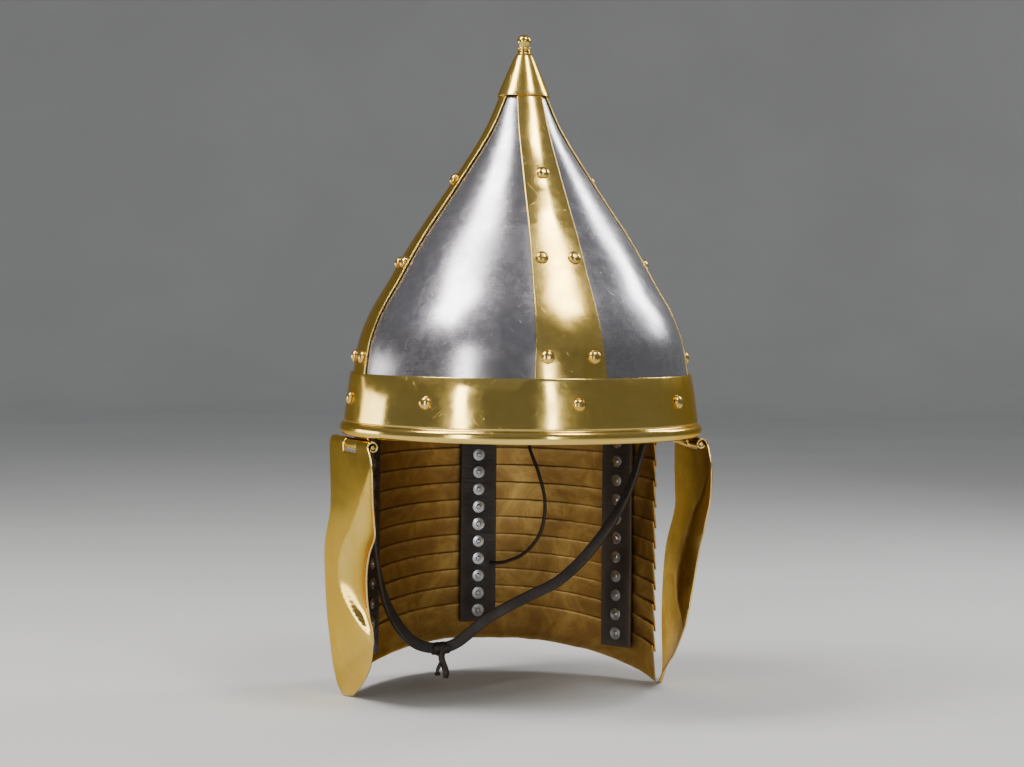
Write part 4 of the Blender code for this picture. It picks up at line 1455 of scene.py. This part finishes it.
@dataclass(frozen=True)
class BowlRivets:
    """Domed rivets on the bands and round the brow band."""

    bands: Bands
    brow: BrowBand
    group: NodeGroup
    radius: float = 0.0040
    height: float = 0.0027
    drop: float = 0.012
    dent: float = 0.00022
    on_band: tuple[Row, ...] = (
        (0.732, 0.000), (0.479, -0.314), (0.479, 0.314), (0.197, -0.337), (0.197, 0.337),
    )
    brow_angles: Row = (1.5, 43.5, 90.0, 135.0, 180.0, 225.0, 270.0, 312.5)

    def seat(self, name: str, heights: np.ndarray, angles: np.ndarray, offset: float, seed: int,
             nodes: Sequence[str], finishes: Finishes) -> None:
        """Stand a row of rivets on one layer.

        Args:
            name: Name of the piece.
            heights: Height of each rivet on the shell.
            angles: Angle of each from the front.
            offset: Distance of the layer from the shell.
            seed: Seed of the hammering.
            nodes: Nodes that the row stands for.
            finishes: Finishes of the helmet.
        """
        form = self.bands.form
        foot = form.point(heights, angles, offset)
        tip = form.point(heights, angles, offset + self.height)
        mesh = self.group.run(name, {
            "Radius": self.radius, "Height": self.height, "Dent": self.dent, "Seed": seed,
            "Material": finishes.rivet}, seat_points(name + "_seats", foot, tip - foot))
        add_piece(name, mesh, finishes.rivet, Body.HELMET, nodes)

    def build(self, finishes: Finishes) -> None:
        """Build and dress the rivets."""
        form = self.bands.form
        heights, angles, nodes = [], [], []
        for order, (side, _) in enumerate(self.bands.turns):
            for number, (share, aside) in enumerate(self.on_band, start=1):
                if side != "front":
                    share -= self.drop
                height = form.foot + form.height * share
                heights.append(height)
                angles.append(self.bands.middle(order) + float(self.bands.angle(height, aside)))
                nodes.append(f"rivet_{side}_{number}")
        self.seat("band_rivets", np.array(heights), np.array(angles),
                  self.bands.gap + self.bands.wall + SEAT_GAP / 2, 3, nodes, finishes)
        middle = (self.brow.top + self.brow.lip_height) / 2
        self.seat("brow_rivets", np.full(len(self.brow_angles), middle),
                  np.radians(self.brow_angles),
                  self.brow.standoff + self.brow.wall + SEAT_GAP / 2, 5,
                  [f"rivet_brow_{number}" for number in range(1, len(self.brow_angles) + 1)],
                  finishes)


# Neck curtain


@dataclass(frozen=True)
class NeckCurtain:
    """Twelve overlapping lames on three leather straps, riveted over round washers."""

    form: BowlForm
    lames: NodeGroup
    studs: NodeGroup
    count: int = 12
    wall: float = 0.0008
    overlap: float = 0.0042
    lean: float = 0.0022
    last_height: float = 0.0235
    radius: float = 0.1018
    top: float = 0.0075
    half_angle: float = math.radians(76.0)
    pitch_back: float = 0.0117
    pitch_end: float = 0.0136
    spread: float = 0.0010
    lip: float = 0.0016
    wave: float = 0.0005
    last_wave: float = 0.0018
    columns: int = 113
    rows: int = 15
    strap_width: float = 0.024
    strap_wall: float = 0.0020
    strap_top: float = 0.033
    bend_top: float = 0.0170
    bend_foot: float = 0.0090
    strap_play: float = 3.5 * SEAT_GAP
    strap_rows: int = 150
    strap_columns: int = 14
    strap_end: float = 0.0006
    strap_edge: float = 0.02
    strap_angles: tuple[tuple[str, float], ...] = (
        ("back", 0.0), ("right", math.radians(57.5)), ("left", math.radians(-57.5)),
    )
    washer_radius: float = 0.0040
    washer_wall: float = 0.0008
    washer_drop: float = 0.0045
    washer_bevel: float = 0.0002
    washer_dent: float = 0.00025
    dome_radius: float = 0.0018
    dome_height: float = 0.0009
    head_radius: float = 0.0019
    head_height: float = 0.0010
    head_drop: float = 0.0064
    head_dent: float = 0.00015
    head_tilt: float = 0.08
    flats: int = 14

    def pitch(self, angle: float) -> float:
        """Distance from one lame to the next at an angle from the centre of the back."""
        share = (angle / self.half_angle) ** 2
        return self.pitch_back + (self.pitch_end - self.pitch_back) * share

    def radius_at(self, order: int, angle: float) -> float:
        """Radius of a lame's outer face at its upper edge."""
        share = order / (self.count - 1) * (angle / self.half_angle) ** 2
        return self.radius + self.spread * share

    def build_lame(self, order: int, finishes: Finishes) -> None:
        """Build and dress one lame.

        Args:
            order: Number of the lame from the top, from 0.
            finishes: Finishes of the helmet.
        """
        last = order == self.count - 1
        heights = [self.last_height if last else self.pitch(angle) + self.overlap
                   for angle in (0.0, self.half_angle)]
        name = f"lame_{order + 1:02d}"
        flat = self.lames.run(name, {
            "Columns": self.columns, "Rows": self.rows, "Half Angle": self.half_angle,
            "Radius Middle": self.radius_at(order, 0.0),
            "Radius End": self.radius_at(order, self.half_angle), "Lean": self.lean,
            "Height Middle": heights[0], "Height End": heights[1],
            "Top Middle": self.top - self.pitch(0.0) * order,
            "Top End": self.top - self.pitch(self.half_angle) * order,
            "Flare": self.lip if last else 0.0,
            "Wave": self.last_wave if last else self.wave,
            "Seed": 11 + order, "Material": finishes.curtain})
        grid = read_points(flat).reshape(self.columns, self.rows, 3).transpose(1, 0, 2)
        bpy.data.meshes.remove(flat)
        add_piece("curtain_" + name, Sheet(grid, self.wall).mesh(name), finishes.curtain,
                  Body.HELMET, (name,))

    def strap_face(self, order: int, angle: float) -> float:
        """Radius of a strap's outer face behind a lame."""
        flat = math.cos(self.half_angle / self.flats)
        return (self.radius_at(order, angle) - self.wall) * flat - SEAT_GAP

    def build_strap(self, side: str, angle: float, finishes: Finishes) -> None:
        """Build and dress one strap with its washers and rivet heads.

        Args:
            side: Name of the strap.
            angle: Angle of its middle from the centre of the back.
            finishes: Finishes of the helmet.
        """
        levels = [self.top - self.pitch(angle) * order for order in range(self.count, -1, -1)]
        radii = [self.strap_face(order, angle) for order in range(self.count, -1, -1)]
        levels[-1] = self.bend_foot
        for level in (self.bend_top, self.strap_top):
            levels.append(level)
            radii.append(float(self.form.section(level, -self.form.wall)[0]) - self.strap_play)
        fine = edged(levels[0], levels[-1], self.strap_rows, self.strap_end)
        radius = np.interp(fine, levels, radii)
        shares = edged(-0.5, 0.5, self.strap_columns, self.strap_edge)
        turn = math.pi + angle + shares[None, :] * self.strap_width / radius[:, None]
        grid = around(radius[:, None], turn, fine[:, None])
        name = "curtain_strap_" + side
        sheet = Sheet(grid, self.strap_wall, rim_steps=6, rim_bulge=0.3)
        add_piece("curtain_leather_" + side, sheet.mesh(name), finishes.strap, Body.HELMET,
                  (name,))

        orders = np.arange(self.count)
        level = self.top - self.pitch(angle) * orders - self.washer_drop
        inner = np.array([self.strap_face(order, angle) for order in orders]) - self.strap_wall
        outer = np.array([self.radius_at(order, angle) for order in orders])
        outer += self.lean * self.head_drop / (self.pitch(angle) + self.overlap)
        way = around(1.0, math.pi + angle, 0.0)
        ways = np.repeat(way[None], self.count, axis=0)
        washers = self.studs.run("curtain_washers_" + side, {
            "Radius": self.dome_radius, "Height": self.dome_height, "Flat": 0.8,
            "Washer Radius": self.washer_radius, "Washer Height": self.washer_wall,
            "Dent": self.washer_dent, "Seed": 21 + len(side), "Material": finishes.washer},
            seat_points("washer_seats", around(inner, math.pi + angle, level), -ways),
            self.washer_bevel)
        add_piece("curtain_washers_" + side, washers, finishes.washer, Body.HELMET)
        seats = around(outer, math.pi + angle, level + self.washer_drop - self.head_drop)
        heads = self.studs.run("curtain_rivets_" + side, {
            "Radius": self.head_radius, "Height": self.head_height, "Dent": self.head_dent,
            "Seed": 31 + len(side), "Segments": 16, "Material": finishes.rivet},
            seat_points("head_seats", seats, ways + np.array([0.0, 0.0, self.head_tilt])))
        add_piece("curtain_rivets_" + side, heads, finishes.rivet, Body.HELMET)

    def build(self, finishes: Finishes) -> None:
        """Build and dress the curtain."""
        for order in range(self.count):
            self.build_lame(order, finishes)
        for side, angle in self.strap_angles:
            self.build_strap(side, angle, finishes)


# Cheek pieces


@dataclass(frozen=True)
class CheekHinge:
    """Pin, knuckle and leaf that carry one cheek piece."""

    form: BowlForm
    radius: float = 0.1088
    drop: float = 0.0050
    angle: float = math.radians(84.5)
    knuckle_radius: float = 0.0036
    knuckle_half_width: float = 0.0127
    leaf_wall: float = 0.0010
    leaf_top: float = 0.0260
    leaf_sink: float = 0.0006
    leaf_steps: int = 12
    leaf_edge: float = 0.02
    pin_head: float = 1.25
    steps: int = 40

    def place(self, side: Side) -> Matrix:
        """Frame of a hinge: X outward, -Y forward, at the middle of the pin.

        Args:
            side: Side of the wearer.

        Returns:
            The matrix from that frame to the helmet's.
        """
        spot = around(self.radius, side.value * self.angle, -self.drop)
        return (Matrix.Translation(Vector(spot))
                @ Matrix.Rotation(side.value * (self.angle - math.pi / 2), 4, "Z"))

    def build(self, side: Side, cheek: "CheekPiece", finishes: Finishes) -> None:
        """Build and dress one hinge.

        Args:
            side: Side of the wearer.
            cheek: Cheek piece whose barrel turns on the pin.
            finishes: Finishes of the helmet.
        """
        front, rear = cheek.barrel_ends()
        pin = cheek.pin_radius()
        half = self.knuckle_half_width
        section = rounded([
            (0.0, front - SEAT_GAP), (pin * self.pin_head, front - SEAT_GAP),
            (pin, front - 3 * SEAT_GAP), (pin, half), (self.knuckle_radius, half),
            (self.knuckle_radius, -half), (pin, -half), (pin, rear + 3 * SEAT_GAP),
            (pin * self.pin_head, rear + SEAT_GAP), (0.0, rear + SEAT_GAP),
        ][::-1])
        turned = lathe_mesh("hinge_" + side.word, section, self.steps, closed=False)
        turned.transform(Matrix.Rotation(math.pi / 2, 4, "X"))

        flat = float(self.form.section(self.leaf_top, -self.form.wall)[0])
        top = math.sqrt(flat**2 - half**2) - 2 * SEAT_GAP - self.radius
        foot = self.leaf_sink - self.knuckle_radius
        rise = edged(0.0, 1.0, self.leaf_steps, self.leaf_edge)[:, None]
        along = edged(half, -half, self.leaf_steps, RIM_INSET)[None, :]
        leaf = np.stack(np.broadcast_arrays(
            foot + (top - foot) * rise, along, (self.leaf_top + self.drop) * rise), -1)
        leaf = leaf * np.array([side.value, 1.0, 1.0])
        plate = Sheet(leaf, self.leaf_wall, flipped=side is Side.LEFT).mesh("leaf")

        holder = bpy.data.objects.new("join", turned)
        other = bpy.data.objects.new("join_leaf", plate)
        for item in (holder, other):
            bpy.context.scene.collection.objects.link(item)
        with bpy.context.temp_override(active_object=holder, object=holder,
                                       selected_editable_objects=[holder, other]):
            bpy.ops.object.join()
        mesh = holder.data
        bpy.data.objects.remove(holder)
        mesh.transform(self.place(side))
        add_piece("cheek_hinge_" + side.word, mesh, finishes.brass, Body.HELMET,
                  ("hinge_" + side.word,))


@dataclass(frozen=True)
class CheekPiece:
    """Plate with a hollow ahead of its crease, its top edge rolled round the pin."""

    hinge: CheekHinge
    wall: float = 0.0011
    length: float = 0.161
    reach: float = 0.0575
    sway: float = 0.0080
    lean: float = 0.0015
    columns: int = 8
    column_steps: int = 8
    roll_rows: int = 44
    roll_angle: float = math.radians(330.0)
    barrel_radius: float = 0.0040
    roll_gap: float = 0.0004
    solid_roll_rows: int = 9
    row_steps: int = 5
    tip_inset: float = 0.003
    side_inset: float = 0.03
    notch_columns: tuple[int, int] = (2, 5)
    outline: tuple[Row, ...] = (
        (0.000, 0.591, -0.713, 0.50, 0.50), (0.031, 0.678, -0.722, 0.50, 0.50),
        (0.075, 0.748, -0.713, 0.54, 0.50), (0.140, 0.765, -0.696, 0.55, 0.50),
        (0.210, 0.757, -0.678, 0.50, 0.52), (0.270, 0.730, -0.678, 0.35, 0.57),
        (0.330, 0.687, -0.765, 0.19, 0.57), (0.390, 0.539, -0.887, 0.22, 0.52),
        (0.460, 0.435, -0.974, 0.22, 0.42), (0.545, 0.374, -1.000, 0.10, 0.32),
        (0.630, 0.348, -1.000, -0.12, 0.25), (0.700, 0.357, -0.983, -0.40, 0.19),
        (0.775, 0.261, -0.939, -0.65, 0.12), (0.850, 0.087, -0.878, -0.87, 0.06),
        (0.910, -0.139, -0.817, -1.02, 0.00), (0.960, -0.348, -0.748, -1.00, -0.12),
        (1.000, -0.522, -0.670, -0.90, -0.37),
    )
    crease_depth: float = 0.0045
    crease_fade: float = 0.4
    crease_limit: float = 0.99
    crease: tuple[Row, ...] = (
        (0.06, 1.00), (0.18, 0.80), (0.30, 0.56), (0.42, 0.42), (0.55, 0.37), (0.64, 0.62),
        (0.74, 1.00),
    )

    @property
    def roll_pitch(self) -> float:
        """How far a full turn of the roll moves inwards."""
        return self.wall + self.roll_gap

    def barrel_ends(self) -> tuple[float, float]:
        """Places of the barrel's front and rear ends."""
        return self.reach * self.outline[0][1], self.reach * self.outline[0][2]

    def pin_radius(self) -> float:
        """Radius of the pin that the roll leaves room for."""
        end = self.barrel_radius - self.roll_pitch * self.roll_angle / (2 * math.pi)
        half_span = self.roll_angle / self.solid_roll_rows / 2
        return end * math.cos(half_span) - self.wall - SEAT_GAP

    def along(self, column: np.ndarray, front: np.ndarray | float, rear: np.ndarray | float,
              notch_share: np.ndarray | float) -> np.ndarray:
        """Place columns between the edges.

        Args:
            column: Column numbers.
            front: Place of the front edge.
            rear: Place of the rear edge.
            notch_share: How far the columns are drawn to the notch, from 0 to 1.

        Returns:
            Their places, forward of the hinge's middle.
        """
        notch = self.hinge.knuckle_half_width + SEAT_GAP
        first, last = self.notch_columns
        even = front + (rear - front) * column / self.columns
        drawn = np.where(
            column <= first, front + (notch - front) * column / first,
            np.where(column <= last, notch - 2 * notch * (column - first) / (last - first),
                     -notch + (rear + notch) * (column - last) / (self.columns - last)))
        return even + (drawn - even) * notch_share

    def hollow(self, share: np.ndarray, width_share: np.ndarray) -> np.ndarray:
        """Depth of the hollow ahead of the crease.

        Args:
            share: Share of the length, from the pin down.
            width_share: Share of the width, from the rear edge.

        Returns:
            The depth there.
        """
        crease = np.minimum(Profile(self.crease).at(share), self.crease_limit)
        ahead = np.maximum(0.0, (width_share - crease) / (1 - crease))
        depth = 4 * ahead * (1 - ahead) * np.minimum(1.0, (1 - crease) / self.crease_fade)
        inside = (share > self.crease[0][0]) & (share < self.crease[-1][0])
        return self.crease_depth * depth * inside

    def grid(self) -> tuple[np.ndarray, np.ndarray]:
        """Lay out the sheet in the hinge's frame.

        Returns:
            The outer face from the tip to the end of the roll, and the cells that are kept.
        """
        column = np.linspace(0, self.columns, self.columns * self.column_steps + 1)
        inset = [self.side_inset, self.columns - self.side_inset]
        column = np.sort(np.concatenate([column, inset]))[None, :]
        rows = [row[0] for row in self.outline]
        fine = [np.linspace(low, high, self.row_steps + 1)[:-1]
                for low, high in zip(rows, rows[1:])]
        share = np.concatenate([*fine, [1.0 - self.tip_inset, 1.0]])[::-1][:, None]
        front, rear, front_sway, rear_sway = (Profile(self.outline, number).at(share)
                                              for number in (1, 2, 3, 4))
        notch = np.clip((self.outline[4][0] - share) / self.outline[2][0], 0.0, 1.0)
        along = self.along(column, front * self.reach, rear * self.reach, notch)
        width_share = (along / self.reach - rear) / (front - rear)
        sway = rear_sway + (front_sway - rear_sway) * width_share**2
        outward = self.sway * sway - self.lean * share - self.hollow(share, width_share)
        upward = np.broadcast_to(-self.length * share, along.shape)
        plate = np.stack([outward, -along, upward], -1)

        turned = np.linspace(0.0, self.roll_angle, self.roll_rows + 1)[1:, None]
        radius = self.barrel_radius - self.roll_pitch * turned / (2 * math.pi)
        along = np.repeat(self.along(column, *self.barrel_ends(), 1.0), self.roll_rows, axis=0)
        roll = np.stack([np.broadcast_to(radius * np.cos(turned), along.shape), -along,
                         np.broadcast_to(radius * np.sin(turned), along.shape)], -1)

        first, last = self.notch_columns
        centre = (column[0, 1:] + column[0, :-1]) / 2
        open_columns = (centre > first) & (centre < last)
        level = np.concatenate([(share[1:, 0] + share[:-1, 0]) / 2, np.zeros(self.roll_rows)])
        kept = ~(open_columns[None, :] & (level < self.outline[1][0])[:, None])
        return np.concatenate([plate, roll]), kept

    def build(self, side: Side, finishes: Finishes) -> None:
        """Build and dress one cheek piece.

        Args:
            side: Side of the wearer.
            finishes: Finishes of the helmet.
        """
        grid, kept = self.grid()
        grid = grid * np.array([side.value, 1.0, 1.0])
        mesh = Sheet(grid, self.wall, kept, flipped=side is Side.RIGHT).mesh("plate_" + side.word)
        mesh.transform(self.hinge.place(side))
        add_piece("cheek_plate_" + side.word, mesh, finishes.brass, side.cheek,
                  ("cheek_" + side.word,))


def main() -> None:
    """Build the studio and the helmet in order."""
    logging.basicConfig(level=logging.INFO, format="%(name)s: %(message)s")
    studio = Studio()
    studio.set_camera()
    finishes = Finishes()
    Cords().build(finishes)

    form = BowlForm()
    bands = Bands(form)
    brow = BrowBand(form, bands)
    studs = stud_group()
    SteelPanels(form).build(finishes)
    bands.build(finishes)
    brow.build(finishes)
    Finial(form, bands).build(finishes)
    BowlRivets(bands, brow, studs).build(finishes)
    NeckCurtain(form, lame_group(), studs).build(finishes)

    cheek = CheekPiece(CheekHinge(form))
    for side in Side:
        cheek.build(side, finishes)
        cheek.hinge.build(side, cheek, finishes)

    studio.lay_floor(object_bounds()[0][2] - studio.floor_gap)
    studio.light()


if __name__ == "__main__":
    main()
